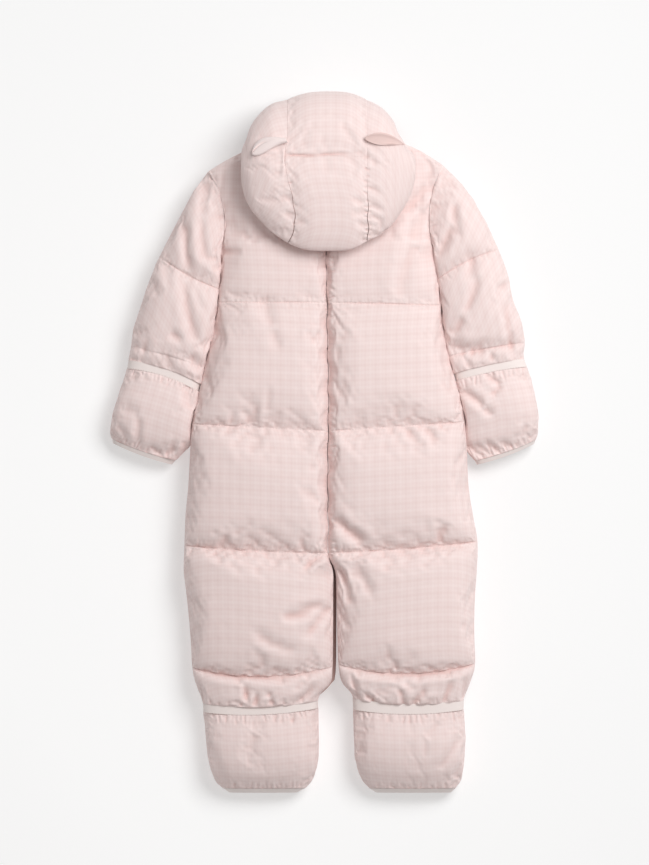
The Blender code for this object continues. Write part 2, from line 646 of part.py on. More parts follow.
def tube_section(rows, place):
    """A tube's inner edge, outer edge, bow and top level at a place between its rows."""
    inner = (column(rows, "inner_x", place), column(rows, "inner_y", place))
    outer = (column(rows, "outer_x", place), column(rows, "outer_y", place))
    return inner, outer, column(rows, "bow", place), column(rows, "top", place)


def stitched_share(rows, place):
    """Share of the full puff near a stitched row of a tube."""
    share = 1.0
    for index, row in enumerate(rows):
        if row.puff < 1.0:
            rise = min(abs(place - index) * STITCH_SLOPE, 1.0) ** STITCH_ROUND
            share = min(share, row.puff + (1.0 - row.puff) * rise)
    return share


def ring_parameter(i, top_count, under_count):
    """Place across a ring, 0 at the inner edge and 1 at the outer, and whether it is on the upper side."""
    if i <= top_count:
        return 0.5 - 0.5 * math.cos(math.pi * i / top_count), True
    k = i - top_count
    return 0.5 + 0.5 * math.cos(math.pi * k / under_count), False


def inset_line(start, end, inset):
    """The line from start to end shortened by inset at both ends."""
    length = math.hypot(end[0] - start[0], end[1] - start[1])
    ux = (end[0] - start[0]) / length
    uy = (end[1] - start[1]) / length
    return (start[0] + ux * inset, start[1] + uy * inset), (end[0] - ux * inset, end[1] - uy * inset)


def build_tube(name, side, rows, counts, finish, collection, wall=COVER_WALL, gathers=0, folds=(),
               thin=False, power=PUFF_POWER):
    """A tube laid flat: an outer skin round it, a narrow slot through it, both ends open.

    A thin tube keeps its wall all round; a padded one is filled up to the slot between its two layers.
    """
    top_count, under_count, row_share, inner_rows = counts
    last = len(rows) - 1
    outer_rows = row_share * last
    around = top_count + under_count
    side_sign = 1.0 if side == "right" else -1.0
    rows = tube_table(rows, side)

    def section(place, t, inset):
        inner, outer, bow, top = tube_section(rows, place)
        inner, outer = inset_line(inner, outer, inset)
        x, y = bowed_line(inner, outer, bow * side_sign, t)
        return x, y, top

    def outer_skin(place, t, upper):
        x, y, top = section(place, t, 0.0)
        hump = rounded(t, power) * stitched_share(rows, place)
        under = column(rows, "under", place)
        middle = min(MIDDLE, (top + 2.0 * under) * MIDDLE_SHARE)
        if gathers:
            ends = math.exp(-place * GATHER_FADE) + MOUTH_GATHER * math.exp(-(last - place) * GATHER_FADE)
            hump *= 1.0 - GATHER_SHARE * ends * (1.0 - math.cos(2.0 * math.pi * gathers * t))
        if upper:
            z = middle + (top - middle) * hump - fold_dip(x, y, folds) * hump
        else:
            z = max(middle - middle * UNDER_DEPTH * hump, under, 0.0)
        return x, y, z

    def slot(place, t, upper):
        x, y, top = section(place, t, wall)
        middle = min(MIDDLE, (top + 2.0 * column(rows, "under", place)) * MIDDLE_SHARE)
        if thin:
            hump = rounded(t, power)
            if upper:
                return x, y, middle + (top - wall - middle) * hump
            return x, y, max(wall, middle - (middle - wall) * UNDER_DEPTH * hump)
        if t < MERGE or t > 1.0 - MERGE:
            return x, y, middle
        return x, y, middle + (LAYER_GAP / 2 if upper else -LAYER_GAP / 2)

    def surface(i, j):
        t, upper = ring_parameter(i % around, top_count, under_count)
        if j <= outer_rows:
            return outer_skin(last * j / outer_rows, t, upper)
        if j == outer_rows + inner_rows + 2:
            return outer_skin(0.0, t, upper)
        return slot(last * (outer_rows + 1 + inner_rows - j) / inner_rows, t, upper)

    bm = mapped_grid(around, outer_rows + inner_rows + 2, surface)
    bmesh.ops.remove_doubles(bm, verts=bm.verts[:], dist=MERGE)
    add_object(name, bm, finish, collection)


def build_limbs(side, collection):
    """Sleeve, hand cover and foot cover of one side."""
    left = side == "left"
    sleeve = LEFT_SLEEVE if left else RIGHT_SLEEVE
    mitt = LEFT_MITT if left else RIGHT_MITT
    bootie = LEFT_BOOTIE if left else RIGHT_BOOTIE
    build_tube("sleeve_" + side, side, sleeve, (TUBE_TOP, TUBE_UNDER, 2, 4), SHELL_CLOTH, collection,
               folds=SLEEVE_FOLDS[side])
    build_tube("mitt_" + side, side, mitt, (MITT_TOP, COVER_UNDER, 1, 3), SHELL_CLOTH, collection,
               gathers=MITT_GATHERS)
    build_tube("bootie_" + side, side, bootie, (BOOTIE_TOP, COVER_UNDER, 1, 3), SHELL_CLOTH, collection,
               gathers=BOOTIE_GATHERS)


def build_trims(collection):
    """Elastic bands round the gathers and bindings round the mouths of the covers."""
    for name, rows in BANDS.items():
        side = name.rsplit("_", 1)[1]
        build_tube(name, side, rows, (TUBE_TOP, BAND_UNDER, 1, 1), BAND_CLOTH, collection,
                   wall=BAND_WALL, thin=True, power=BAND_POWER)
    for name, rows in BINDINGS.items():
        side = name.rsplit("_", 1)[1]
        build_tube(name, side, rows, (TUBE_TOP, COVER_UNDER, 1, 1), BAND_CLOTH, collection,
                   wall=BINDING_WALL)


# ---------------------------------------------------------------- hood
def hood_slice_point(row, place):
    """Place of the hood's unpinched skin in one slice."""
    crown = column(HOOD, "crown_y", row)
    fold = column(HOOD, "fold_y", row)
    fullness = column(HOOD, "fullness", row)
    along = column(HOOD_PROFILE, "along", place)
    level = column(HOOD_PROFILE, "level", place)
    return fold + (crown - fold) * along, HOOD_POLE + (level - HOOD_POLE) * fullness


def hood_skin(row, place, depth):
    """Point of a slice moved inwards, square to the skin."""
    y, z = hood_slice_point(row, place)
    y0, z0 = hood_slice_point(row, max(place - PROFILE_STEP, 0.0))
    y1, z1 = hood_slice_point(row, min(place + PROFILE_STEP, len(HOOD_PROFILE) - 1.0))
    length = math.hypot(y1 - y0, z1 - z0)
    return y - (z1 - z0) / length * depth, z + (y1 - y0) / length * depth


def hood_pinch(row, place):
    """How far the outer skin is drawn in at the two seams and at the middle panel's cross quilting."""
    dip = 0.0
    first, last = HOOD_PANELS["hood_centre"]
    for seam in (first, last):
        dip = max(dip, HOOD_SEAM_DIP * math.exp(-((row - seam) / HOOD_SEAM_WIDTH) ** 2))
    if first <= row <= last:
        dip = max(dip, HOOD_SEAM_DIP * math.exp(-((place - HOOD_QUILT_ROW) / HOOD_QUILT_WIDTH) ** 2))
    return dip


def build_hood_panel(name, collection):
    """One hood panel: a padded wall between two seams."""
    first, last = HOOD_PANELS[name]
    profile_last = len(HOOD_PROFILE) - 1.0

    def slice_x(row, shrink):
        x = HOOD[HOOD_MIDDLE_ROW].x
        x += (column(HOOD, "x", row) - x) * shrink
        if first > 0 and row == first:
            x += SEAM_GAP
        if last < len(HOOD) - 1 and row == last:
            x -= SEAM_GAP
        return x

    def outer(i, j):
        row = first + (last - first) * i / HOOD_PANEL_COLUMNS
        place = profile_last * j / HOOD_ROWS
        y, z = hood_skin(row, place, hood_pinch(row, place))
        return slice_x(row, 1.0), y, z

    def inner(i, j):
        row = first + (last - first) * i / HOOD_PANEL_COLUMNS
        wall = HOOD_WALL * min(column(HOOD, "fullness", row), 1.0)
        y, z = hood_skin(row, profile_last * j / HOOD_ROWS, wall)
        return slice_x(row, HOOD_INNER_SHARE), y, z

    bm = two_skin_wall(HOOD_PANEL_COLUMNS, HOOD_ROWS, outer, inner)
    add_object(name, bm, SHELL_CLOTH, collection)


def solve(function, target, low, high):
    """Place between low and high where a steadily rising function reaches the target."""
    for _ in range(SOLVE_STEPS):
        middle = (low + high) / 2
        if function(middle) < target:
            low = middle
        else:
            high = middle
    return (low + high) / 2


def hood_level(x, y):
    """Level of the hood's upper skin over a point in plan."""
    row = solve(lambda place: column(HOOD, "x", place), x, 0.0, len(HOOD) - 1.0)
    place = solve(lambda place: -hood_slice_point(row, place)[0], -y, HOOD_CROWN_PLACE, HOOD_FOLD_PLACE)
    return hood_slice_point(row, place)[1]


def build_ear(name, collection):
    """A folded leaf-shaped ear lying on the hood, its root in the hood's seam."""
    ear = EARS[name]

    def plan(i, j):
        along = i / EAR_COLUMNS
        across = 2.0 * j / EAR_ROWS - 1.0
        leaf = math.sin(math.pi * (EAR_ROOT_PHASE + (1.0 - EAR_ROOT_PHASE) * along)) ** EAR_ROUND
        half_width = ear.width / 2 * max(leaf, EAR_TIP_SHARE)
        start = (ear.root_x, ear.root_y)
        end = (ear.tip_x, ear.tip_y)
        x, y = bowed_line(start, end, ear.bend, along)
        length = math.hypot(end[0] - start[0], end[1] - start[1])
        x -= (end[1] - start[1]) / length * half_width * across
        y += (end[0] - start[0]) / length * half_width * across
        return x, y, along, across

    def under(i, j):
        x, y, along, across = plan(i, j)
        return x, y, hood_level(x, y) + EAR_LIFT + EAR_TIP_LIFT * along ** 2

    def upper(i, j):
        x, y, along, across = plan(i, j)
        crown = (EAR_THICK - EAR_EDGE) * (1.0 - across ** 2) * (1.0 - EAR_TIP_THIN * along)
        return x, y, under(i, j)[2] + EAR_EDGE + crown

    bm = two_skin_wall(EAR_COLUMNS, EAR_ROWS, upper, under)
    add_object(name, bm, EAR_CLOTH, collection)


# ---------------------------------------------------------------- front zip
def zip_x(y):
    """X of the garment's centre line at a level above the crotch."""
    place = solve(lambda p: -column(LEFT_BODY, "centre_y", p), -y, 0.0, float(LEG_ROW))
    return column(LEFT_BODY, "centre_x", place)


def build_zip_tape(collection):
    """The tape between the front panels, with the closed chain standing proud of it towards the floor."""
    chain_edge = CHAIN_HALF + TAPE_STEP
    offsets = [-TAPE_HALF, -chain_edge, -CHAIN_HALF, CHAIN_HALF, chain_edge, TAPE_HALF]
    chain_top = SLIDER_Y - SLIDER_LENGTH / 2 - CHAIN_CLEARANCE
    levels = [TAPE_TOP_Y, chain_top + TAPE_STEP]
    levels += [chain_top + (TAPE_FOOT_Y - chain_top) * k / TAPE_ROWS for k in range(TAPE_ROWS + 1)]

    def under(i, j):
        y = levels[j]
        on_chain = abs(offsets[i]) <= CHAIN_HALF and y <= chain_top
        return zip_x(y) + offsets[i], y, TAPE_LEVEL - (CHAIN_HEIGHT if on_chain else 0.0)

    def upper(i, j):
        y = levels[j]
        return zip_x(y) + offsets[i], y, TAPE_LEVEL + TAPE_THICK

    bm = two_skin_wall(len(offsets) - 1, len(levels) - 1, under, upper)
    add_object("zip_tape", bm, ZIP_CLOTH, collection, smooth=False)


def add_box(name, size, centre, finish, collection, bevel=0.0):
    """A box by its size and centre in millimetres, with rounded edges if a bevel is given."""
    bm = bmesh.new()
    bmesh.ops.create_cube(bm, size=1.0)
    bmesh.ops.scale(bm, vec=[value * MM for value in size], verts=bm.verts)
    obj = add_object(name, bm, finish, collection, smooth=False)
    obj.location = [value * MM for value in centre]
    if bevel:
        modifier = obj.modifiers.new("round_edges", "BEVEL")
        modifier.width = bevel * MM
        modifier.segments = 2
    return obj


def cut_or_join(obj, other, operation):
    """Join the other solid to an object or cut it out, and keep the other as a hidden guide."""
    modifier = obj.modifiers.new(other.name, "BOOLEAN")
    modifier.operation = operation
    modifier.object = other
    other.hide_render = True
    other.display_type = "WIRE"


def build_zip_hardware(collection, guides):
    """Slider with its bridge, and the pull tab that swings on it."""
    x = zip_x(SLIDER_Y)
    plate_centre = SLIDER_FACE + SLIDER_HEIGHT / 2
    slider = add_box("zip_slider", (SLIDER_WIDTH, SLIDER_LENGTH, SLIDER_HEIGHT), (x, SLIDER_Y, plate_centre),
                     ZIP_METAL, collection, bevel=SLIDER_BEVEL)
    bridge = add_box("bridge", (BRIDGE_WIDTH, BRIDGE_LENGTH, BRIDGE_DROP + BRIDGE_ROOT),
                     (x, SLIDER_Y, SLIDER_FACE + (BRIDGE_ROOT - BRIDGE_DROP) / 2), ZIP_METAL, guides)
    eye = add_box("bridge_eye", (BRIDGE_WIDTH * 2, EYE_LENGTH, EYE_HEIGHT),
                  (x, SLIDER_Y, SLIDER_FACE - EYE_HEIGHT / 2), ZIP_METAL, guides)
    cut_or_join(slider, bridge, "UNION")
    cut_or_join(slider, eye, "DIFFERENCE")

    hinge = bpy.data.objects.new("pull_hinge", None)
    hinge.location = (x * MM, SLIDER_Y * MM, HINGE_LEVEL * MM)
    guides.objects.link(hinge)
    bar = TAB_THICK / 2
    tab_length = TAB_LENGTH + bar
    tab = add_box("zip_pull", (TAB_WIDTH, tab_length, TAB_THICK), (0.0, bar - tab_length / 2, 0.0),
                  ZIP_METAL, collection, bevel=TAB_BEVEL)
    window = add_box("pull_window", (WINDOW_WIDTH, WINDOW_END - bar, TAB_THICK * 2),
                     (0.0, -(WINDOW_END + bar) / 2, 0.0), ZIP_METAL, guides)
    tab.parent = hinge
    window.parent = hinge
    cut_or_join(tab, window, "DIFFERENCE")


clear_scene()
suit = new_collection("baby_snowsuit")
guides = new_collection("guides")
for body_side in ("left", "right"):
    build_back(body_side, suit)
    build_front(body_side, suit)
    build_limbs(body_side, suit)
build_trims(suit)
for panel in HOOD_PANELS:
    build_hood_panel(panel, suit)
for ear_name in EARS:
    build_ear(ear_name, suit)
build_zip_tape(suit)
build_zip_hardware(suit, guides)
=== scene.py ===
"""Padded baby snowsuit laid flat on its front: the finished look of every piece.

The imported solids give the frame.  Each padded panel is cut again here from the same section tables with a
finer net of points, inflated by its wadding with a short cloth simulation and closed into a solid piece.
Tables are in millimetres; meshes are in metres, +Z up, head towards +Y.
"""
import math
import random
from collections import namedtuple

import bmesh
import bpy
import numpy as np
from bpy.props import FloatProperty, FloatVectorProperty, PointerProperty
from mathutils import Matrix, Vector


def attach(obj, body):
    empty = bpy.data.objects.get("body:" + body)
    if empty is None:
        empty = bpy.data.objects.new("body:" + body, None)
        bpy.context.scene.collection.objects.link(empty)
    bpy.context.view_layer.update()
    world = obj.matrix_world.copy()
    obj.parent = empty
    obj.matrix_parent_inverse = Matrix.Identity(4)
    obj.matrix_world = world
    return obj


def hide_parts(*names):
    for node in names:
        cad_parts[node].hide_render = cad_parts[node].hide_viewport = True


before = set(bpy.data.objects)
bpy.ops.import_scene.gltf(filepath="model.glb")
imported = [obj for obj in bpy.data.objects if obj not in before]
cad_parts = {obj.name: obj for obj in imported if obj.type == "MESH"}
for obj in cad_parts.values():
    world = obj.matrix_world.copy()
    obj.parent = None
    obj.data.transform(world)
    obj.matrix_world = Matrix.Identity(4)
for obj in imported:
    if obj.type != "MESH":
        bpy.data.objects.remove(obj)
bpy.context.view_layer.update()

bl_info = {
    "name": "Padded baby snowsuit",
    "version": (1, 0, 0),
    "blender": (4, 5, 0),
    "location": "View3D > Sidebar > Snowsuit",
    "description": "Makes the quilted panels, hood, covers, bands and zip of a baby snowsuit",
    "category": "Add Mesh",
}

MM = 0.001

# ---------------- levels and gaps (mm)
MIDDLE = 23.0  # level between the back layer and the front layer
LAYER_GAP = 0.24  # air between the two layers
LINED_WALL = -0.7  # how far a wall faces the centre before it is made of lining
SEAM_GAP = 0.36  # air between the body's panels at a seam
HOOD_SEAM_GAP = (0.1, 0.03)  # the same at the hood's left and right seams, near the crown
HOOD_GAP_LOW = (0.45, 0.4)  # and where those seams are drawn up, low down
HOOD_GAP_Y = (272.0, 225.0)  # places along Y between which that sets in
LEG_SHIFT = 3.4  # how far the fronts' inner leg edges lie to the right of the backs'
SLEEVE_PRESS = 0.8  # how far a sleeve's inner edge is pressed into the body's side
ARMHOLE_GAP = 0.35  # air between a sleeve's head and the body
ZIP_HALF_GAP = 6.4  # from the zip's centre line to each front panel
ZIP_FOOT = (-82.0, -93.0)  # where the front opening closes to a plain seam
FRONT_NECK_DROP = 14.0  # front neckline below the back neckline
MIDDLE_SHARE = 0.52  # level of a thin tube's slot as a share of its height
UNDER_LIFT = 2.0  # how many times the level of its underside is added to that height
EDGE_RIM = 3.5  # height of a layer at a plain outer edge
FRONT_RIM = 8.0  # height of the front layer beside the zip
# Height of the back layer at its centre seam and its inner leg, at places down the body.
INNER_RIMS = ((0.0, 16.0), (14.0, 16.0), (15.0, 12.0), (18.0, 12.0), (20.0, 3.5))
# The same at its outer edge: higher where a sleeve lies against it.
SIDE_RIMS = ((0.0, 3.5), (4.0, 3.5), (5.0, 7.5), (11.0, 7.5), (13.0, 3.5))
ARMHOLE_RIM = 12.0  # height of a layer at the armhole
UNDER_DEPTH = 1.25  # how far the underside is pressed, as a share of the lower layer
PUFF_POWER = 2.5  # roundness of a channel across the garment
INNER_POWER = 3.8  # the same on the body's side of a sleeve or hand cover
BAND_POWER = 3.4  # roundness of a band, squarer than what it goes round
CENTRE_POWER = 20.0  # how soon a back is full beside the centre seam
VALLEY_POWER = 9.5  # how soon the cloth is level beside a seam that pulls it into a valley
BAND_WALL = 2.6  # thickness of the elastic bands
UNDER_BAND = BAND_WALL + 1.0  # underside of a leg or sleeve where a band goes round it
BINDING_WALL = 4.0  # thickness of a binding at its side folds
HOOD_INNER_SHARE = 0.91  # width of the hood's hollow as a share of its own
COVER_WALL = 9.0  # padded wall at the side folds of sleeves and covers
HOOD_WALL = 8.0  # padded wall of the hood
HOOD_POLE = 62.0  # level of the hood's side folds
HOOD_SEAM_DIP = 2.6  # how far the hood is pinched at its seams
EAR_LIFT = 0.7  # air under an ear
EAR_THICK = 6.6  # thickness of a folded ear
EAR_EDGE = 1.6  # thickness of an ear at its edges
EAR_TIP_LIFT = 0.9  # how far an ear's tip stands off the hood
MERGE = 1e-6  # points closer than this are one, in metres
GRAIN_X = 4.1
EAR_ROOT_PHASE = 0.05  # how far into its leaf shape an ear starts, so that its root has some width
EAR_TIP_SHARE = 0.07  # width of the tip as a share of the widest part
EAR_CUT = 1.4  # width that an ear was cut to, before it was folded, as a share of its width
EAR_SLIT_PLACE = 0.35  # where the slit between a folded ear's lobes runs, across it
EAR_SLIT_WIDTH = 0.13
EAR_SLIT_DEPTH = 2.2
EAR_SLIT_OPENS = (3.0, 0.9)  # how fast the slit opens towards the tip, and after how much of a lead
EAR_THINS = 0.35  # share of its thickness that a folded ear loses towards its tip
EAR_RIM_PLACE = 0.8  # where an open ear's rim runs, across it
EAR_RIM_WIDTH = 0.3
EAR_RIM_HEIGHT = 1.2
EAR_TILT = 5.5  # how much higher an open ear's upper edge lies than its lower one
EAR_TILT_POWER = 1.3  # how much of that rise comes late
EAR_LIP_AT = (-0.7, 0.68)  # where its lower layer shows as a lip, across it and along it
EAR_LIP_WIDTH = 0.16
EAR_LIP_HEIGHT = 1.6  # as a share of the rim's
EAR_BODY_SPAN = (0.04, 0.97)  # the part of its length over which an open ear rises from both ends
EAR_BODY_ROUND = 0.6  # how soon it does
STITCH_SLOPE = 1.6  # how fast a sleeve rises from its stitched rows
STITCH_ROUND = 0.6  # and how round that rise is
SEAM_WANDER = ((0.35, 23.0), (0.3, 5.2))  # how far the centre back seam wanders, and over what length
HOOD_QUILT_DIP = 4.6  # how far the hood is pinched at its cross quilting
TAPE_THICK = 1.2
TAPE_LEVEL = 19.0  # underside of the tape
TAPE_TOP_Y = 296.0
TAPE_FOOT_Y = -72.0
TAPE_OFFSETS = (-5.2, -4.6, -3.6, -3.2, -2.8, -2.4, -1.2, 0.0, 1.2, 2.4, 2.8, 3.2, 3.6, 4.6, 5.2)
TAPE_CORD = 0.5  # height of the cord along each tape
CORD_PLACE = 3.0  # from the centre line to the cord
CORD_WIDTH = 0.5
CHAIN_TOP_Y = 274.5  # where the teeth start, below the slider
TOOTH_PITCH = 2.6  # between the teeth of one tape
TOOTH_SIZE = (3.4, 1.15, 2.0)
TOOTH_OFFSET = 0.6  # how far a tooth stands to its own side
TOOTH_BEVEL = 0.25
STOP_SIZE = (5.0, 3.0, 2.3)
STOP_BEVEL = 0.5
STITCH_PITCH = 2.8  # from one stitch to the next
STITCH_LENGTH = 2.0
STITCH_THICK = 0.5
STITCH_LIFT = 0.05  # how far the thread stands out of the cloth
SHARP_ANGLE = 50.0  # edges sharper than this stay crisp, in degrees

# ---------------- resolution
FINE = 3  # how many times finer a settled net becomes
BACK_FINE = 4  # the same on the back
BAND_FINE = 2  # and on bands and bindings
BACK_STEP = 4.2  # between rows of a net, in mm
BACK_COLUMNS = 36
FRONT_STEP = 6.0
FRONT_COLUMNS = 30
ROW_GATHER = 0.7  # how much closer together rows are beside a stitched row
HOOD_STEP = 4.2
HOOD_GATHER = 0.4  # the same for a hood panel's columns beside its seams
HOOD_COLUMNS = {"hood_side_left": 20, "hood_centre": 20, "hood_side_right": 20}
EAR_COLUMNS = 28
EAR_GATHER = 0.6  # the same at an ear's ends
EAR_ROWS = 20
TAPE_ROWS = 120
LOOKUP_STEPS = 40  # readings from one row of a table to the next, to find a place by its length
CENTRE_STEPS = 10  # the same to find the centre line
HOOD_LOOKUP = (321, 81)  # readings across the hood and down a slice, to find its level

# How a tube is netted: columns over it and under it, distance between rows, rows of its slot.
TubeNet = namedtuple("TubeNet", "over under step slot")
SLEEVE_NET = TubeNet(30, 14, 3.6, 4)
MITT_NET = TubeNet(44, 18, 2.6, 3)
BOOTIE_NET = TubeNet(58, 22, 2.8, 3)
BAND_NET = TubeNet(60, 24, 1.6, 1)

# ---------------- how cloth is held while it settles
LOOSE = 0.01  # everywhere else
# The quilted rows of the body's tables, and how firmly each is kept.
QUILTED_ROWS = ((6, 0.25), (10, 1.0), (14, 1.0), (18, 1.0), (21, 1.0), (22, 1.0))
STITCHED_ROWS = (6, 10, 14, 18)
STITCHED_BELOW = 0.8  # a tube's row with less of the puff than this is stitched through
HELD_BELOW = 0.95  # a tube's row that keeps more of the puff than this isn't held
HELD_RISE = 3.0  # how fast the hold rises below that
CREASE_HOLD = 0.03  # for each millimetre of a crease's depth
CREASE_HOLD_MAX = 0.15
CREASE_AGAIN = 0.35  # share of a crease's depth that is drawn in again once the cloth has settled

# ---------------- cloth, thread and light
CLOTH_MAP = "UVMap"
HOLLOW = "hollow"  # mask of the painted crease shade: how deep a point of the cloth lies in a crease, 0 to 1
HOLLOW_PASSES = 24  # how widely the cloth round a point is averaged to tell
HOLLOW_UNDER = 0.3  # share of the same on the pressed underside
HOLLOW_ON_EDGE = 0.35  # upward share of the surface's normal below which it stands on edge
HOLLOW_FULL = 1.9  # depth in mm at which the shade is full
PAINTED_CREASE_SHADE = (0.90, 0.82, 0.805)  # painted shade in creases: what is left of the cloth's colour there
SHELL_PALE = (0.940, 0.797, 0.776, 1.0)
SHELL_DEEP = (0.860, 0.682, 0.656, 1.0)
# Lining: a deeper pink than the shell, partly painted shade so that the gaps where it shows, such as between
# the legs, read dark
LINING_WITH_GAP_SHADE = (0.60, 0.42, 0.385, 1.0)
BINDING = (0.93, 0.83, 0.80, 1.0)
EAR = (0.96, 0.83, 0.81, 1.0)
# Inside of the open ear: partly an inner cloth, partly painted shade for the dish of the ear
EAR_INSIDE_SHADED = (0.80, 0.60, 0.565, 1.0)
TAPE = (0.80, 0.66, 0.64, 1.0)
THREAD = (0.84, 0.70, 0.67, 1.0)
METAL = (0.80, 0.68, 0.66, 1.0)
CLOTH_SHEEN = 0.2
CLOTH_GLOSS = 0.25
SHEEN_ROUGHNESS = 0.45
COAT_ROUGHNESS = 0.2
# Stripes of one repeat of the check: place and brightness.
WARP_LINES = ((0.0, 0.95), (0.06, 0.9), (0.14, 0.42), (0.2, 0.45), (0.3, 0.62), (0.36, 0.6), (0.46, 0.06),
              (0.54, 0.04), (0.63, 0.55), (0.7, 0.58), (0.8, 0.4), (0.86, 0.42), (0.94, 0.9), (1.0, 0.95))
WEFT_LINES = ((0.0, 0.95), (0.05, 0.93), (0.14, 0.4), (0.2, 0.44), (0.3, 0.66), (0.36, 0.62), (0.46, 0.05),
              (0.54, 0.05), (0.64, 0.6), (0.7, 0.62), (0.8, 0.38), (0.86, 0.4), (0.95, 0.92), (1.0, 0.95))
BROAD_LINES = ((0.0, 0.3), (0.3, 0.45), (0.5, 0.8), (0.75, 0.6), (1.0, 0.3))
BROAD_REPEATS = 3.0
WARP_SHARE = 0.42
WEFT_SHARE = 0.48
THREAD_PITCH = 0.0006  # between threads of the weave, in metres
CRINKLE_SCALE = 90.0  # waves of the shell's fine crinkle for each metre
CRINKLE_DETAIL = 3.0
CRINKLE_SHARE = 0.8  # what is left over of the bump is weave
CRINKLE_HEIGHT = 0.5
SHELL_ROUGHNESS = (0.62, 0.14)  # at the bottom of the crinkle, and how much it rises
PLAIN_ROUGHNESS = 0.6
PLAIN_SCALE = 160.0  # waves of a plain cloth's mottle for each metre
PLAIN_SHADE = 0.93  # what is left of a plain cloth's colour between its threads
PLAIN_BUMP = 0.05  # height of its threads, in mm
RIBS = {"elastic_binding": 0.0011, "tape_cloth": 0.0008}  # between the ribs across a cloth, in metres
RIB_ALONG = 0.4  # the finer ribs along the cloth, as a share of those across it
RIB_SHARE = 0.7  # share of a rib in the height; what is left over is the finer ribs
RIB_BUMP = 0.12  # height of a rib, in mm
# Thread, moulded teeth and lacquer.  waves: of the mottle, for each metre.  dark: what is left of the colour
# at its darkest.  varies: how much the roughness rises with the mottle.  bump: the mottle's height, in mm.
Mottle = namedtuple("Mottle", "waves detail dark rough varies coat bump")
MOTTLES = {
    "sewing_thread": Mottle(2500.0, 2.0, 0.88, 0.6, 0.0, 0.0, 0.0),
    "zip_teeth": Mottle(400.0, 2.0, 0.92, 0.34, 0.14, 0.0, 0.0),
    "zip_lacquer": Mottle(900.0, 4.0, 0.85, 0.25, 0.15, 0.4, 0.02),
}
# Which of the cloth's colours each finish has.
FINISH_COLOURS = {
    "plain_lining": "lining", "elastic_binding": "binding", "ear_cloth": "ear", "ear_inside": "ear_inside",
    "tape_cloth": "tape", "zip_teeth": "tape", "sewing_thread": "thread", "zip_lacquer": "metal",
}
FLOOR_ROUGHNESS = 0.9
FLOOR_MOTTLE = (3.0, 0.004)  # waves for each metre, and how much they change the tone
FLOOR_SIZE = 6.0
FLOOR_LEVEL = -0.0003
LIGHT_FROM = (0.87, 0.82, 1.74)
LIGHT_AT = (0.0, 0.05, 0.0)
LIGHT_SIZE = 1.1
FLOOR_EVEN = 0.12  # share of black in the floor's tone at the origin: the base of its painted shade
FLOOR_GLOW = 0.35  # light that the floor gives of itself, as a light table does
FLOOR_PAINTED_SHADE = (0.22, 0.20)  # painted shade: how much the floor's tone drops for each metre towards the light, along X and Y, to cancel the light's falloff
SKY_COLOUR = (1.0, 0.985, 0.975, 1.0)
CAMERA_X = 0.0005
CAMERA_Y = 0.0103
CAMERA_REACH = 50.0  # the farthest that the camera sees, in metres

# ---------------- creases, puckers and wadding
# A crease is a soft trough from one end to the other, bowed to the left of its direction.
# One with less than no depth is a ridge.
Crease = namedtuple("Crease", "x0 y0 x1 y1 width depth bow", defaults=(0.0,))
CREASE_FADE = 0.85  # how much of a crease's depth is lost at its ends
CREASE_RUNOUT = 4  # how late along the crease that happens
CREASE_SHOULDER = 0.2  # height of the low ridge beside a crease, as a share of its depth
CREASE_SHOULDER_AT = 2.0  # where that ridge lies, in widths of the crease
CREASE_ROOM = 0.5  # share of the front layer's depth that a crease may take up

# Puckers that run off a gathered line: how many, how far they reach, their depth and width, the seed of
# their draws, and how much they slant.
Gather = namedtuple("Gather", "count reach depth width seed slant", defaults=(0.35,))
PUCKER_PLACES = (0.15, 0.85)  # where a pucker may stand in its share of the line
PUCKER_STEP = 0.01  # how far along the line its direction is read
# Shares of the gather's reach, width and depth that a pucker may have.
PUCKER_REACH = (0.35, 1.0)
PUCKER_WIDTH = (0.8, 1.3)
PUCKER_DEPTH = (0.4, 1.0)

# How a pad is inflated.  slack: extra cloth.  cap: the most that a point may move, in mm.
Wadding = namedtuple("Wadding", "pressure slack bending tension shear mass damping quality frames cap",
                     defaults=(15.0, 5.0, 0.0005, 1.0, 3, 8, 12.0))
SLEEVE_SLACK = 1.0  # shares of the slack that sleeves, covers and the hood get
COVER_SLACK = 0.8
HOOD_SLACK = 0.4


def rows_of(kind, rows):
    """A table of plain rows with their fields named."""
    return [kind(*row) for row in rows]


def tables_of(kind, tables):
    """The same for several tables, each under its name."""
    return {name: rows_of(kind, rows) for name, rows in tables.items()}


# ---------------- section tables (mm)
OUTWARD = {"left": -1.0, "right": 1.0}  # which way along X is away from the centre line
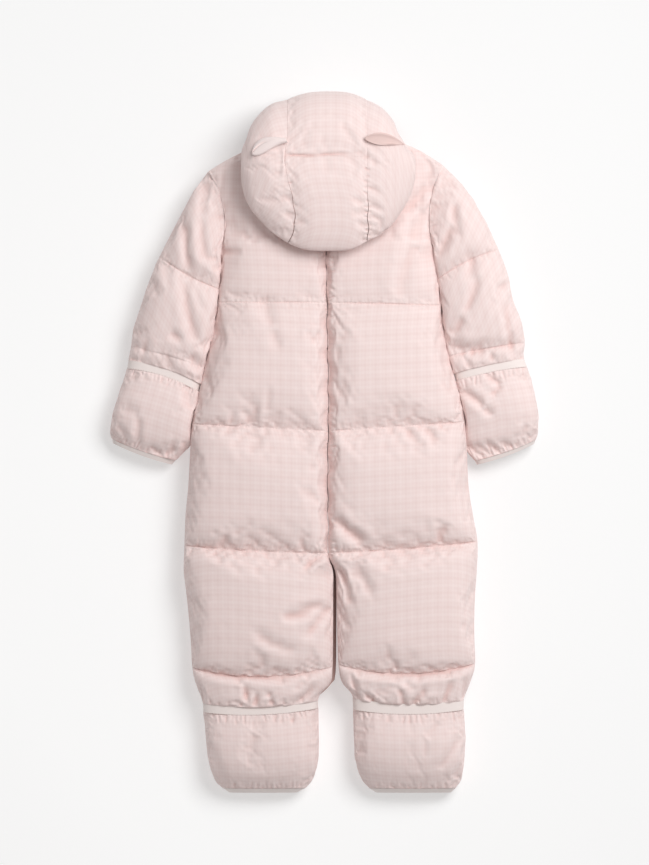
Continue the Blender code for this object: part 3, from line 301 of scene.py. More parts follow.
# One row for each section across half of the body, shoulder to ankle.
# armhole: how far round the armhole the row ends, 0 at the shoulder tip and 1 under the arm, else None.
# bow: how far the row curves towards the head.  puff: top level.  under: level of the underside.
BodyRow = namedtuple("BodyRow", "centre_x centre_y side_x side_y armhole bow puff under", defaults=(0.0,))
BODY = tables_of(BodyRow, {
    "left": [
        (2.1, 317.8, 0, 0, 0, 9, 36), (2.1, 285.8, 0, 0, 0.22, 5, 38), (2.1, 254.9, 0, 0, 0.52, 2, 41),
        (2.1, 224, 0, 0, 0.80, 0, 44), (2.1, 195.2, 0, 0, 1, 0, 49),
        (2.1, 169.4, -107.4, 165.3, None, 0, 51), (3.1, 143.7, -108.9, 143.7, None, 0, 51),
        (3.6, 113.8, -112.9, 116.9, None, 0, 53), (4.1, 79.8, -121.2, 81.9, None, 0, 54),
        (4.1, 43.8, -129.3, 46.9, None, 0, 54), (4.1, 11.8, -135.5, 19.1, None, 0, 54),
        (4.1, -18, -137.6, -12.9, None, 0, 55), (4.1, -48.9, -139.6, -46.9, None, 0, 55),
        (4.1, -79.8, -142.3, -74.7, None, 0, 55), (4.4, -112.8, -143.4, -105.6, None, -2, 54),
        (9.1, -133.4, -144, -132.4, None, -3, 54), (9.4, -159.1, -140.6, -162.2, None, -5, 54),
        (9.3, -195.2, -137.2, -198.3, None, -8, 53), (8.8, -230.2, -135.2, -231.2, None, -10, 50),
        (6.6, -246, -130.8, -249.8, None, -7, 47), (-3.6, -258, -126.2, -261.2, None, -4.5, 45.5),
        (-6.6, -264.9, -123.6, -268.1, None, -4.5, 42.5, 1.5),
        (-10.6, -263.9, -119.4, -266.9, None, -4.5, 34, UNDER_BAND),
        (-10.8, -271.6, -119, -275.4, None, -4.5, 34, UNDER_BAND),
    ],
    "right": [
        (2.1, 317.8, 0, 0, 0, 11.5, 36), (2.1, 285.8, 0, 0, 0.22, 6, 38), (2.1, 254.9, 0, 0, 0.52, 2, 41),
        (2.1, 224, 0, 0, 0.80, 0, 44), (2.1, 195.2, 0, 0, 1, 0, 49),
        (2.1, 169.4, 117.3, 167.4, None, 0, 51), (3.1, 143.7, 119.9, 140.6, None, 0, 51),
        (3.6, 113.8, 123.3, 115.9, None, 0, 53), (4.1, 79.8, 129.8, 82.9, None, 0, 54),
        (4.1, 43.8, 139.6, 46.9, None, 0, 54), (4.1, 11.8, 144.6, 21.1, None, 0, 54),
        (4.1, -18, 146.8, -9.8, None, 0, 55), (4.1, -48.9, 148.4, -44.8, None, 0, 55),
        (4.1, -79.8, 153, -74.7, None, 0, 55), (4.4, -112.8, 157.6, -101.5, None, -2, 54),
        (11.5, -133.4, 157, -130.3, None, -3, 54), (12.8, -159.1, 154.9, -160.2, None, -5, 54),
        (13.6, -195.2, 154.3, -195.2, None, -8, 53), (14.9, -228.1, 155.2, -227.1, None, -10, 50),
        (18.5, -245.7, 150.4, -245.7, None, -7, 47), (27.6, -257, 145.2, -258.6, None, -4.5, 45.5),
        (30.6, -263.6, 142.4, -265.2, None, -4.5, 42.5, 1.5),
        (34.4, -262.6, 138.6, -264, None, -4.5, 34, UNDER_BAND),
        (34.8, -272.8, 138.4, -272.8, None, -4.5, 34, UNDER_BAND),
    ],
})
# Channels between rows where the layers are stitched through, and how much of the puff is left at both.
BodyChannel = namedtuple("BodyChannel", "start end start_puff end_puff")
BODY_CHANNELS = rows_of(BodyChannel, [
    (0, 6, 0.05, 0.86), (6, 10, 0.86, 0.64), (10, 14, 0.64, 0.50), (14, 18, 0.50, 0.50),
    (18, 21, 0.50, 0.92), (21, 23, 0.92, 0.80),
])
ARMHOLE_END_ROW = 4
WAIST_ROW = 10  # row at the waist's quilting
LEG_ROW = 14  # row at the crotch
CALF_ROW = 20  # row where the shift of the fronts' inner leg edges has gone

# The armhole runs from the shoulder tip to the underarm and bows towards the body.
Armhole = namedtuple("Armhole", "tip_x tip_y under_x under_y bow")
ARMHOLES = {
    "left": Armhole(-119.0, 278.6, -106.4, 196.2, 9.5),
    "right": Armhole(122.6, 284.6, 112.6, 198.0, 9.0),
}

# One row for each section across a sleeve, armhole to wrist; the inner edge follows the body's side.
# puff: share of the full height that is left where it is stitched.  under: level of the underside.
TubeRow = namedtuple("TubeRow", "inner_x inner_y outer_x outer_y bow top puff under", defaults=(1.0, 0.0))
LIMBS = tables_of(TubeRow, {
    "quilted_sleeve_left": [
        (None, 196.2, -119, 278.6, 9.5, 36), (None, 181.8, -134.9, 256, 4.5, 44),
        (None, 170.5, -151.4, 225.6, 1, 47), (None, 157.1, -168.9, 191.1, -3, 45, 0.79),
        (None, 134.4, -180.2, 164.3, 0, 47), (None, 113.8, -188.5, 139.6, 0, 47),
        (None, 92, -195.7, 116.9, 1, 45), (None, 75.7, -198.3, 98.4, 2, 42, 0.93),
        (None, 66.6, -199.9, 91, 3, 41), (None, 59.4, -200.9, 83.5, 4, 38.4),
        (-130.3, 61.6, -197.8, 85.2, 4, 31, 1, UNDER_BAND),
        (-133.2, 54.8, -197.4, 75.8, 4, 31, 1, UNDER_BAND),
    ],
    "quilted_sleeve_right": [
        (None, 198, 122.6, 284.6, 9, 36), (None, 185.9, 144.2, 262.1, 4.5, 44),
        (None, 177.7, 163.8, 231.2, 1, 47), (None, 167.4, 179.2, 198.3, 3, 45, 0.77),
        (None, 146.8, 188.5, 173.6, 0, 47), (None, 126.2, 194.2, 146.8, 0, 47),
        (None, 105.6, 202.9, 124.1, 0, 45), (None, 88.1, 206.3, 102.5, 1, 42, 0.8),
        (None, 77.4, 205, 92.4, 1, 41), (None, 70.2, 205.8, 85, 2, 38.4),
        (138.3, 72.4, 202.4, 86.4, 2, 31, 1, UNDER_BAND), (142.3, 64.8, 203.8, 77.8, 2, 31, 1, UNDER_BAND),
    ],
    # Covers, from the gathered edge at the band to the mouth.
    "hand_cover_left": [
        (-127.6, 51.85, -202.6, 76.05, 4, 38.2), (-129.4, 43, -207, 61.3, 4, 40),
        (-132.5, 29.4, -212.2, 45.8, 3, 42), (-135.2, 14.9, -216.8, 30.4, 1, 41),
        (-136.1, -0.5, -219.6, 15, -2, 36), (-144.4, -10.4, -219.4, 7, -3, 28),
        (-152.6, -18.4, -217.8, 3.6, -2, 25),
    ],
    "hand_cover_right": [
        (134.9, 62.75, 208.8, 77.65, 2, 38.2), (137.9, 51, 213.2, 63.3, 2, 40),
        (141, 36.6, 217.3, 46.9, 2, 42), (143.6, 22.1, 220, 31.4, 1, 41), (144.9, 5, 220.2, 17, -2, 36),
        (147, -8.4, 219.4, 8, -3, 28), (155, -18.6, 217.6, 2.6, -2, 25),
    ],
    "foot_cover_left": [
        (-5.9, -272.85, -124, -277.15, -4.5, 41), (-5.6, -288, -122.4, -291, -3, 43),
        (-5.2, -308, -121, -309, 0, 46), (-5.8, -325, -118.6, -327, 0, 45),
        (-8.8, -338, -114.8, -340.4, 0, 40), (-13.4, -348.6, -110, -349.7, 0, 32),
        (-19.4, -355.4, -104, -355.4, 0, 27),
    ],
    "foot_cover_right": [
        (30, -274.45, 143.5, -274.45, -4.5, 41), (30.2, -289.9, 144.7, -289.9, -3, 43),
        (31, -308, 145.2, -306.4, 0, 46), (32, -323.9, 144.4, -322.8, 0, 45),
        (35.4, -337.3, 143, -336.2, 0, 40), (40.8, -348.6, 140.2, -347.6, 0, 32),
        (46.4, -355.4, 135.4, -355.4, 0, 27),
    ],
})
# Elastic bands over the gathers and narrow bindings at the mouths.
BANDS = tables_of(TubeRow, {
    "mitt_band_left": [(-126.5, 60.6, -200.9, 84.8, 4, 37.5), (-128.5, 52, -202.3, 76.2, 4, 37.5)],
    "mitt_band_right": [(133.3, 71.4, 205.6, 86.2, 2, 37.5), (135.7, 62.9, 208.6, 77.8, 2, 37.5)],
    "bootie_band_left": [(-6.2, -263.8, -124.7, -266.9, -4.5, 40.5), (-5.9, -272.7, -124, -277, -4.5, 40.5)],
    "bootie_band_right": [
        (29.4, -262.3, 143.8, -263.8, -4.5, 40.5), (29.9, -274.3, 143.5, -274.3, -4.5, 40.5),
    ],
})
BINDINGS = tables_of(TubeRow, {
    "mitt_binding_left": [(-152.7, -18.55, -217.8, 3.45, -2, 25), (-156.6, -22.6, -217.3, -0.6, -2, 22.5)],
    "mitt_binding_right": [(155.05, -18.75, 217.6, 2.45, -2, 25), (157.4, -22.8, 216, -1.4, -2, 22.5)],
    "bootie_binding_left": [(-19.5, -355.55, -103.9, -355.55, 0, 27), (-27.6, -360, -97.4, -360, 0, 20)],
    "bootie_binding_right": [(46.5, -355.55, 135.3, -355.55, 0, 27), (53.4, -360, 130.6, -360, 0, 20)],
})

# One row for each slice across the hood, left to right.
# fullness: the slice's height as a share of the middle's.
HoodSlice = namedtuple("HoodSlice", "x crown_y fold_y fullness")
HOOD = rows_of(HoodSlice, [
    (-85, 287.9, 276.6, 0.12), (-83.4, 300.2, 264.2, 0.26), (-80, 310.5, 251, 0.42),
    (-74.6, 325, 239, 0.62), (-66, 337, 228.6, 0.76), (-53.6, 347.6, 215.8, 0.89),
    (-37.4, 354.6, 201.9, 0.97), (-18, 358.6, 197, 1), (4.1, 360, 196.2, 1), (26, 358.8, 197.2, 1),
    (44.3, 353.9, 203.2, 0.97), (59, 343.8, 212.6, 0.89), (70, 332, 223.2, 0.77), (78, 317.8, 234.6, 0.60),
    (85.2, 305.4, 246.4, 0.40), (90.6, 297, 259, 0.25), (93.6, 288.4, 272.4, 0.12),
])
HOOD_PANELS = {"hood_side_left": (0, 6), "hood_centre": (6, 10), "hood_side_right": (10, 16)}
# One row for each point down a slice: share of the way from the fold to the crown, and level in mm.
ProfilePoint = namedtuple("ProfilePoint", "along level")
HOOD_PROFILE = rows_of(ProfilePoint, [
    (0.895, 2), (0.955, 1), (0.990, 9), (1.000, 30), (0.965, 56), (0.850, 76), (0.640, 87), (0.400, 90),
    (0.170, 86), (0.035, 78), (0.000, 69), (0.055, 59.5), (0.300, 56), (0.680, 50),
])
# How far the hood's left seam and the cloth beside it lie to the side: Y and shift.
HOOD_SWAY = ((195.0, 1.0), (204.0, 3.0), (218.0, 7.5), (230.0, 7.5), (247.0, 6.0), (269.0, 0.5),
             (286.0, -2.5), (300.0, -2.0), (312.0, 0.0))
HOOD_SWAY_ROW = 6.0
HOOD_SWAY_WIDTH = 2.6  # in rows
HOOD_SWAY_FADE = 1.6  # profile points over which it runs out at the fold
HOOD_WANDER = (0.9, 3.6)  # how far both seams wander low down, and over what length
HOOD_QUILT_ROW = 6.2  # place of the cross quilting on the middle panel, counted in profile points
HOOD_QUILT_WIDTH = 0.4
HOOD_QUILT_POWER = 1.3  # how sharp its valley is; 2 is round
HOOD_SEAM_WIDTH = 0.7  # in rows
HOOD_TOP_RISE = 10.0  # height over the side folds from which creases are full
HOOD_MIDDLE_ROW = 8
HOOD_LINED_ROW = 3  # the walls beyond this row, at the side folds, are of shell cloth
HOOD_CROWN_PLACE = 3.0  # profile points at the crown and at the lower fold
HOOD_FOLD_PLACE = 10.0
PROFILE_STEP = 0.05  # how far down a slice its direction is read

# Each ear: root end and tip on the hood, the width across its middle, and how far it bends sideways.
# skew: above 1 puts the widest part nearer the tip.  round: fullness of the leaf shape, less is fuller.
Ear = namedtuple("Ear", "root_x root_y tip_x tip_y width bend skew round")
EARS = {
    "ear_left": Ear(-38.2, 308.2, -73.4, 294.6, 14.4, -4.2, 1.75, 0.52),
    "ear_right": Ear(42.2, 310.6, 82.6, 304.8, 12.8, 1.8, 0.85, 1.0),
}

# ---------------- main creases, as the cloth lies (mm)
BODY_CREASES = tables_of(Crease, {
    "left": [
        (2.5, -114, -20.6, -129.3, 3.6, 4.5, -1.5), (-9, -112.5, -17, -120, 2.2, 2.2),
        (2.1, -165.3, -44.3, -177.7, 5.5, 3.1, 2), (6.2, -168.4, -17.5, -197.2, 4.5, 2.9),
        (-73.1, -193.1, -23.7, -213.7, 6.5, 2.2, -3), (-63.9, 149.9, -53.6, 115.9, 8, 2),
        (-53.6, 115.9, -44.3, 93.2, 7, 1.6), (-81.4, 33.5, -76.2, 19.1, 4, 2),
        (-70, 35.5, -72.1, 19.1, 4, 1.8), (-90.6, 31.4, -94.8, 18, 4, 1.5),
        (-24.7, -98.4, -21.6, -110.7, 3.5, 1.6), (-102, -95.3, -105.1, -108.7, 3.5, 1.6),
        (-77.4, -269, -82.1, -249.5, 2, 3.2), (-72.4, -271, -69.2, -257, 1.8, 3.2),
        (-52.3, -271, -56.4, -256, 1.8, 2.8), (-124.4, -268, -126.3, -250.5, 2.4, 2.4),
        (-34.3, -268, -8.5, -248.5, 3.4, 2.4, -2),
    ],
    "right": [
        (128.8, 284.8, 110.2, 256, 5.5, 5, 3), (115.4, 282.7, 79.3, 232.3, 6.5, 4.5, 3),
        (122.6, 256, 111.2, 206.5, 5, 3.5, -3), (102, 240.5, 91.7, 204.5, 7, 3.5),
        (91.7, 205.5, 78.3, 146.8, 8, 3, -2), (9.3, -75.7, 43.3, -103.5, 6, 4.5, -2),
        (123.6, -87, 116.4, -102.5, 4.5, 2.6), (13.5, -128, 21.6, -146.2, 3, 5.5, 1.5),
        (20.6, -143.6, 26.6, -166.2, 4, 2.6), (30, -122.8, 50.4, -158.4, 6.5, 2),
        (102, 14.9, 116.4, 1.5, 4.5, 2.5), (83.4, 12.9, 93.7, 4.6, 4, 2),
        (131.2, -243.2, 119.5, -270, 3, 3, 1), (76.1, -249.5, 81.6, -271, 2.4, 3.2),
        (105.5, -251.5, 88.6, -270, 3.6, 2.2), (28.2, -239.5, 36.4, -266, 3, 2.6),
        (41.1, -256.9, 58.7, -270.9, 2.6, 3), (146, -243.2, 141.6, -264, 2.6, 2.2),
    ],
})
TUBE_CREASES = tables_of(Crease, {
    "quilted_sleeve_left": [
        (-119.5, 268.3, -125.7, 231.2, 5.2, 2.8, -1), (-125.7, 232.3, -120.5, 185.9, 5.2, 2.5, -2),
        (-142.1, 226.1, -138, 174.6, 5.2, 3.4, -1), (-143.2, 166.3, -130.8, 101.5, 5.8, 3.7, -2),
        (-131.8, 159.1, -126.7, 134.4, 4, 1.6), (-161.7, 185.9, -158.6, 158.1, 4.6, 1.2),
        (-158.6, 112.8, -144.2, 104.5, 4.6, 1.9), (-181.3, 109.7, -186.4, 83.9, 4, 1.9),
        (-195.7, 99.4, -183.3, 96.3, 3.4, 0.9), (-138, 90.1, -125.7, 74.7, 5.8, 2.5),
        (-163.8, 88.1, -155.5, 77.8, 4.6, 1.6), (-113.3, 192.1, -108.2, 175.6, 4.6, 2.5),
    ],
    "quilted_sleeve_right": [
        (132.9, 246.7, 130.8, 225.1, 4, 2.5, 1), (130.8, 225.1, 117.4, 190, 4.6, 2.8, 1),
        (137, 235.4, 136, 210.6, 4.6, 1.6), (152.4, 191.1, 147.3, 163.3, 4.6, 2.2, 1),
        (157.6, 172.5, 144.2, 132.4, 4.6, 2.8, 2), (140.1, 129.3, 130.8, 109.7, 5.2, 1.9),
        (143.2, 128.2, 137, 112.8, 3.4, 1.2), (186.4, 144.7, 194.7, 86, 4, 2.8, -1),
        (184.4, 166.3, 185.4, 155, 4.6, 1), (128.8, 101.5, 147.3, 92.2, 6.9, 2.8),
        (147.3, 91.2, 164.8, 96.3, 6.9, 2.5), (170, 92.2, 174.1, 82.9, 3.4, 1.9),
        (179.2, 98.4, 192.6, 100.4, 4, 1.6), (145.2, 87, 149.3, 76.7, 3.4, 1.9),
    ],
    "hand_cover_left": [
        (-192.6, 72.6, -196.7, 63.3, 3, 1.4), (-205, 35.5, -189.5, 29.4, 6, 1.4),
        (-189.5, 27.3, -191.6, -1.5, 3.5, 1.8), (-218.4, 14.9, -208.1, -1.5, 3.5, 1.8),
        (-212.2, 19.1, -200.8, 0.5, 3.5, 1.8), (-177.2, -3.6, -168.9, -11.8, 3, 1.4),
        (-158.6, -5.7, -150.4, 2.6, 3.5, 1.8), (-163.8, -12.9, -152.4, -4.6, 3, 1.8),
        (-140.1, 60.3, -138, 33.5, 5, 2.8), (-143.2, 2.6, -140.1, -12.9, 4, 2.1),
    ],
    "hand_cover_right": [
        (168.9, 70.6, 181.3, 60.3, 3.5, 2.4, -2), (181.3, 59.2, 172, 47.9, 3.5, 2.1),
        (140.1, 53, 163.8, 35.5, 4.5, 3.1, 2), (163.8, 35.5, 173, 27.3, 4.5, 2.1),
        (146.3, -1.5, 165.8, -17, 3, 2.1), (153.5, -0.5, 173, -13.9, 3, 1.8),
        (164.8, 1.5, 180.2, -9.8, 3, 1.8), (181.3, 2.6, 192.6, -5.7, 3, 1.4),
        (208.1, 19.1, 203.9, 5.7, 3.5, 2.1), (215.3, 14.9, 211.2, 3.6, 3, 1.8),
        (201.9, 69.5, 208.1, 63.3, 4, 1),
    ],
    "foot_cover_left": [
        (-10.4, -309.4, -19.6, -342.5, 5, 1.5), (-118.9, -305.7, -104.1, -346.2, 5, 1.3),
        (-70, -299, -78, -316, 6, 0.9),
    ],
    "foot_cover_right": [
        (138.8, -300.2, 116.5, -335.2, 5, 2.2, 2), (145.9, -311.4, 134.9, -346.2, 4, 2.6),
        (34, -296, 37, -322, 5, 1.4), (118, -286, 104, -302, 5, 1.2),
    ],
})
HOOD_CREASES = tables_of(Crease, {
    "hood_side_left": [
        (-31.9, 246.7, -42.2, 251.8, 3, 1), (-29.9, 228.1, -41.2, 235.4, 3, 1),
        (-35, 210.6, -45.3, 218.9, 3, 0.8), (-37.1, 291, -45.3, 284.8, 3, 0.6),
    ],
    "hood_centre": [
        (42.2, 243.6, 28.8, 248.7, 3.4, 1.2), (43.3, 236.4, 28.8, 233.3, 3.4, 1),
        (44.3, 220.9, 33, 223, 3, 0.8), (-33, 301.3, -24.7, 299.2, 3.4, 0.5),
        (-28.8, 227.1, -16.5, 223, 3.4, 0.6),
    ],
    "hood_side_right": [
        (45.3, 260.1, 56.6, 256, 3, 0.8), (45.3, 242.6, 61.8, 235.4, 3.4, 1),
        (45.3, 233.3, 60.8, 225.1, 3, 1), (46.4, 220.9, 61.8, 220.9, 3, 0.8),
        (48.4, 208.6, 65.9, 216.8, 3.4, 1), (47.4, 293, 52.5, 282.7, 3, 0.8),
    ],
})
# Creases drawn in once the hood has settled: its cross quilting, and the ridge beside the left seam.
HOOD_DRAWN = tables_of(Crease, {
    "hood_side_left": [
        (-41.5, 301, -43.5, 270, 1.8, -1.6, 1.5), (-38.5, 298, -39.5, 282, 1.4, 1.6),
    ],
    "hood_centre": [
        (-39, 294.2, -8, 293.2, 1.4, 2, -0.6), (-8, 293.4, 24, 295, 1.5, 1.7, 0.4),
        (22, 295.2, 42, 296.6, 1.6, 0.8),
    ],
    "hood_side_right": [],
})
HOOD_SEAM_PUCKERS = (Gather(11, 4.5, 1.2, 1.0, 600, 0.6), Gather(16, 5.5, 1.5, 1.0, 610, 0.6))
HOOD_PUCKERS_FROM = 300.0
HOOD_PUCKERS_TO = 200.0
HOOD_PUCKERS_LOW = 0.7  # below 1, more of them stand low down
# Off a cover's band and off its mouth.
COVER_GATHERS = {
    "hand_cover_left": (Gather(19, 8.0, 1.2, 1.0, 11), Gather(14, 11.0, 1.3, 1.2, 21)),
    "hand_cover_right": (Gather(14, 11.0, 1.5, 1.2, 12), Gather(14, 13.0, 1.5, 1.3, 22)),
    "foot_cover_left": (Gather(24, 12.0, 1.5, 1.4, 13), Gather(16, 8.0, 1.1, 1.4, 23)),
    "foot_cover_right": (Gather(22, 12.0, 1.6, 1.4, 14), Gather(16, 8.0, 1.1, 1.4, 24)),
}
UNDER_SEED = 100  # added to the seeds for the hidden side
RIM_SPAN = (0.03, 0.97)  # the share of a tube's width that its gathers stand on
FRONT_PUCKERS = Gather(11, 14.0, 2.2, 3.0, 300)
# Where the puckers off a quilted row start across a panel, and how much of its width they take.
FRONT_SPAN = (0.06, 0.88)
BACK_SPAN = (0.04, 0.92)
CALF_END = 21  # row where the calf ends on the band
# On the back, off each quilted row of the tables: half as many run the other way.
BACK_PUCKERS = {
    6: Gather(14, 7.0, 0.6, 1.3, 400),
    10: Gather(22, 8.0, 0.8, 1.3, 410),
    14: Gather(26, 11.0, 1.1, 1.4, 424),
    18: Gather(16, 9.0, 1.1, 1.3, 430),
    CALF_END: Gather(12, 9.0, 1.3, 1.4, 440),
}
# Off the centre back seam, from this row down to the crotch.
SEAM_PUCKERS_FROM = 4.0
SEAM_PUCKERS = {"left": Gather(34, 6.0, 1.4, 1.2, 450, 0.8), "right": Gather(44, 9.0, 1.9, 1.2, 460, 0.8)}
SLEEVE_PUCKERS = Gather(9, 8.0, 1.0, 1.4, 500)
SLEEVE_END_PUCKERS = Gather(11, 7.0, 0.9, 1.4, 520)


# ---------------- curves, rows and creases
def spline(values, place):
    """Read a smooth curve through evenly numbered values, at one place or at many."""
    values = np.asarray(values, dtype=float)
    last = len(values) - 1
    place = np.clip(place, 0.0, last)
    index = np.minimum(np.floor(place).astype(int), last - 1)
    t = place - index
    t = t.reshape(t.shape + (1,) * (values.ndim - 1))
    before = values[np.maximum(index - 1, 0)]
    a = values[index]
    b = values[index + 1]
    after = values[np.minimum(index + 2, last)]
    slope_a = 0.5 * (b - before)
    slope_b = 0.5 * (after - a)
    return (
        (2 * t ** 3 - 3 * t ** 2 + 1) * a + (t ** 3 - 2 * t ** 2 + t) * slope_a
        + (3 * t ** 2 - 2 * t ** 3) * b + (t ** 3 - t ** 2) * slope_b
    )


def column(rows, name, place):
    """Read one named column of a table at places between its rows."""
    return spline([getattr(row, name) for row in rows], np.asarray(place, dtype=float))


def held(share):
    """A share held between 0 and 1."""
    return np.clip(share, 0.0, 1.0)


def rounded(t, power):
    """Height of a rounded hump across 0 to 1: nought at both ends and one in the middle."""
    away = np.minimum(np.abs(2.0 * t - 1.0), 1.0)
    return np.maximum(1.0 - away ** power, 0.0) ** (1.0 / power)


def valley(t, power=VALLEY_POWER):
    """Height of a hump across 0 to 1 that slopes down to its ends, as cloth does to a sewn line."""
    return 1.0 - np.minimum(np.abs(2.0 * t - 1.0), 1.0) ** power


def bowed_line(start, end, bow, t):
    """Points on the line from start to end, bowed to the left of its direction."""
    dx = end[0] - start[0]
    dy = end[1] - start[1]
    length = np.hypot(dx, dy)
    lift = bow * 4.0 * t * (1.0 - t)
    return start[0] + dx * t - dy / length * lift, start[1] + dy * t + dx / length * lift


def spread(count, gathered=1.0):
    """Shares from 0 to 1, closer together at both ends."""
    even = np.linspace(0.0, 1.0, count + 1)
    return (1.0 - gathered) * even + gathered * (0.5 - 0.5 * np.cos(math.pi * even))


def net_of(x, y, z):
    """A net of points from their coordinates."""
    return np.stack(np.broadcast_arrays(x, y, z), axis=-1)


def running_length(points):
    """Length from the start of a line to each of its points."""
    return np.concatenate([[0.0], np.cumsum(np.linalg.norm(np.diff(points, axis=0), axis=1))])


def refined(points, factor):
    """The same net of points with each mesh divided by factor along smooth curves."""
    rows, columns = points.shape[:2]
    points = spline(points, np.linspace(0, rows - 1, (rows - 1) * factor + 1))
    points = np.swapaxes(points, 0, 1)
    points = spline(points, np.linspace(0, columns - 1, (columns - 1) * factor + 1))
    return np.swapaxes(points, 0, 1)


def crease_depth(x, y, creases):
    """How far creases press a point down: soft troughs with a low shoulder, running out at both ends."""
    total = np.zeros(np.broadcast(x, y).shape)
    for crease in creases:
        dx = crease.x1 - crease.x0
        dy = crease.y1 - crease.y0
        length = math.hypot(dx, dy)
        along = ((x - crease.x0) * dx + (y - crease.y0) * dy) / length ** 2
        t = held(along)
        across = ((y - crease.y0) * dx - (x - crease.x0) * dy) / length - crease.bow * 4.0 * t * (1.0 - t)
        distance = np.hypot(across, (along - t) * length) / crease.width
        fade = 1.0 - CREASE_FADE * (2.0 * t - 1.0) ** CREASE_RUNOUT
        shape = np.exp(-distance ** 2) - CREASE_SHOULDER * np.exp(-(distance - CREASE_SHOULDER_AT) ** 2)
        total += crease.depth * fade * shape
    return total


def pressed(points, creases):
    """The same for a net of points."""
    return crease_depth(points[..., 0], points[..., 1], creases)


def puckers(line, gather, seed_shift=0, into=(1.0,)):
    """Short creases running off a sewn line at uneven places; into says to which sides of the line."""
    picker = random.Random(gather.seed + seed_shift)
    made = []
    for index in range(gather.count):
        s = (index + picker.uniform(*PUCKER_PLACES)) / gather.count
        x, y = line(s)
        ahead = line(min(s + PUCKER_STEP, 1.0))
        behind = line(max(s - PUCKER_STEP, 0.0))
        along = Vector((ahead[0] - behind[0], ahead[1] - behind[1])).normalized()
        for way in into:
            lean = picker.uniform(-gather.slant, gather.slant)
            out = Vector((-along.y * way + along.x * lean, along.x * way + along.y * lean))
            size = picker.uniform(*PUCKER_REACH)
            end = (x + out.x * gather.reach * size, y + out.y * gather.reach * size)
            made.append(Crease(x, y, end[0], end[1], gather.width * picker.uniform(*PUCKER_WIDTH),
                               gather.depth * picker.uniform(*PUCKER_DEPTH)))
    return made


def arc_lengths(points, axis):
    """Running length of cloth along one direction of a net of points."""
    steps = np.linalg.norm(np.diff(points, axis=axis), axis=-1)
    start = np.zeros_like(np.take(steps, [0], axis=axis))
    return np.concatenate([start, np.cumsum(steps, axis=axis)], axis=axis)


def nearest(places, place):
    """Number of the row of a net that lies nearest to a place."""
    return int(np.argmin(np.abs(places - place)))


def chart(points, middle, level_row=0):
    """Place of each point on the flat cloth, in millimetres, measured from a column and a row of the net."""
    across = arc_lengths(points, 1)
    along = arc_lengths(points, 0)
    across = across - across[:, middle:middle + 1]
    along = along[level_row:level_row + 1] - along
    return np.stack([across, along], axis=-1)


# ---------------- nets of cloth
def painted_crease_shade_mask(points):
    """Mask of the painted crease shade: how deep each point lies below the cloth round it, 0 to 1; nought
    where that cloth stands on edge.
    """
    level = np.abs(points[..., 2:] - MIDDLE)
    around = np.concatenate([points, level], axis=-1)
    for _ in range(HOLLOW_PASSES):
        wide = np.pad(around, ((1, 1), (1, 1), (0, 0)), mode="edge")
        around = (wide[:-2, 1:-1] + wide[2:, 1:-1] + wide[1:-1, :-2] + wide[1:-1, 2:]) / 4
    normal = np.cross(np.gradient(around[..., :3], axis=0), np.gradient(around[..., :3], axis=1))
    facing = np.abs(normal[..., 2]) / np.maximum(np.linalg.norm(normal, axis=-1), MERGE)
    depth = held((around[..., 3] - level[..., 0]) / HOLLOW_FULL)
    depth = depth * np.where(points[..., 2] < MIDDLE, HOLLOW_UNDER, 1.0)
    return depth * held((facing - HOLLOW_ON_EDGE) / HOLLOW_ON_EDGE)


def add_net(bm, points, flat, lined_from=None):
    """Add a grid with its points set from an array, and its place on the flat cloth as its UV map.

    Faces from row lined_from on show the lining.  The points are given back in the order of the array.
    """
    rows, columns = points.shape[0] - 1, points.shape[1] - 1
    # the hollow layer holds the mask of the painted crease shade, which the shell's colour reads
    hollow = bm.verts.layers.float.get(HOLLOW) or bm.verts.layers.float.new(HOLLOW)
    uv = bm.loops.layers.uv.get(CLOTH_MAP) or bm.loops.layers.uv.new(CLOTH_MAP)
    grid = bmesh.ops.create_grid(bm, x_segments=columns, y_segments=rows, size=0.5)
    depths = painted_crease_shade_mask(points)
    places = points * MM
    charted = flat * MM
    order = [[None] * (columns + 1) for _ in range(rows + 1)]
    for vert in grid["verts"]:
        j = round((vert.co.y + 0.5) * rows)
        i = round((vert.co.x + 0.5) * columns)
        order[j][i] = vert
    for j, row in enumerate(order):
        lined = lined_from is not None and j >= lined_from
        for i, vert in enumerate(row):
            vert.co = places[j, i]
            vert[hollow] = depths[j, i]
            for loop in vert.link_loops:
                loop[uv].uv = charted[j, i]
            if lined and i and j > lined_from:
                for face in vert.link_faces:
                    face.material_index = 1
    return order


def join_rims(bm):
    """Join the open rims of two nets with a wall, whose faces are given back."""
    rims = [edge for edge in bm.edges if edge.is_boundary]
    wall = bmesh.ops.bridge_loops(bm, edges=rims)["faces"]
    bmesh.ops.recalc_face_normals(bm, faces=bm.faces[:])
    return wall


def close_net(bm, level, side):
    """Close an open net with walls to a flat inner face; that face and the centre walls are of lining."""
    rim = [edge for edge in bm.edges if edge.is_boundary]
    walls = bmesh.ops.extrude_edge_only(bm, edges=rim)["geom"]
    for item in walls:
        if isinstance(item, bmesh.types.BMVert):
            item.co.z = level * MM
    base = [item for item in walls if isinstance(item, bmesh.types.BMEdge) and item.is_boundary]
    inner = bmesh.ops.contextual_create(bm, geom=base)["faces"]
    bmesh.ops.recalc_face_normals(bm, faces=bm.faces[:])
    for item in walls + inner:
        if not isinstance(item, bmesh.types.BMFace):
            continue
        if item in inner or item.normal.x * OUTWARD[side] < LINED_WALL:
            item.material_index = 1


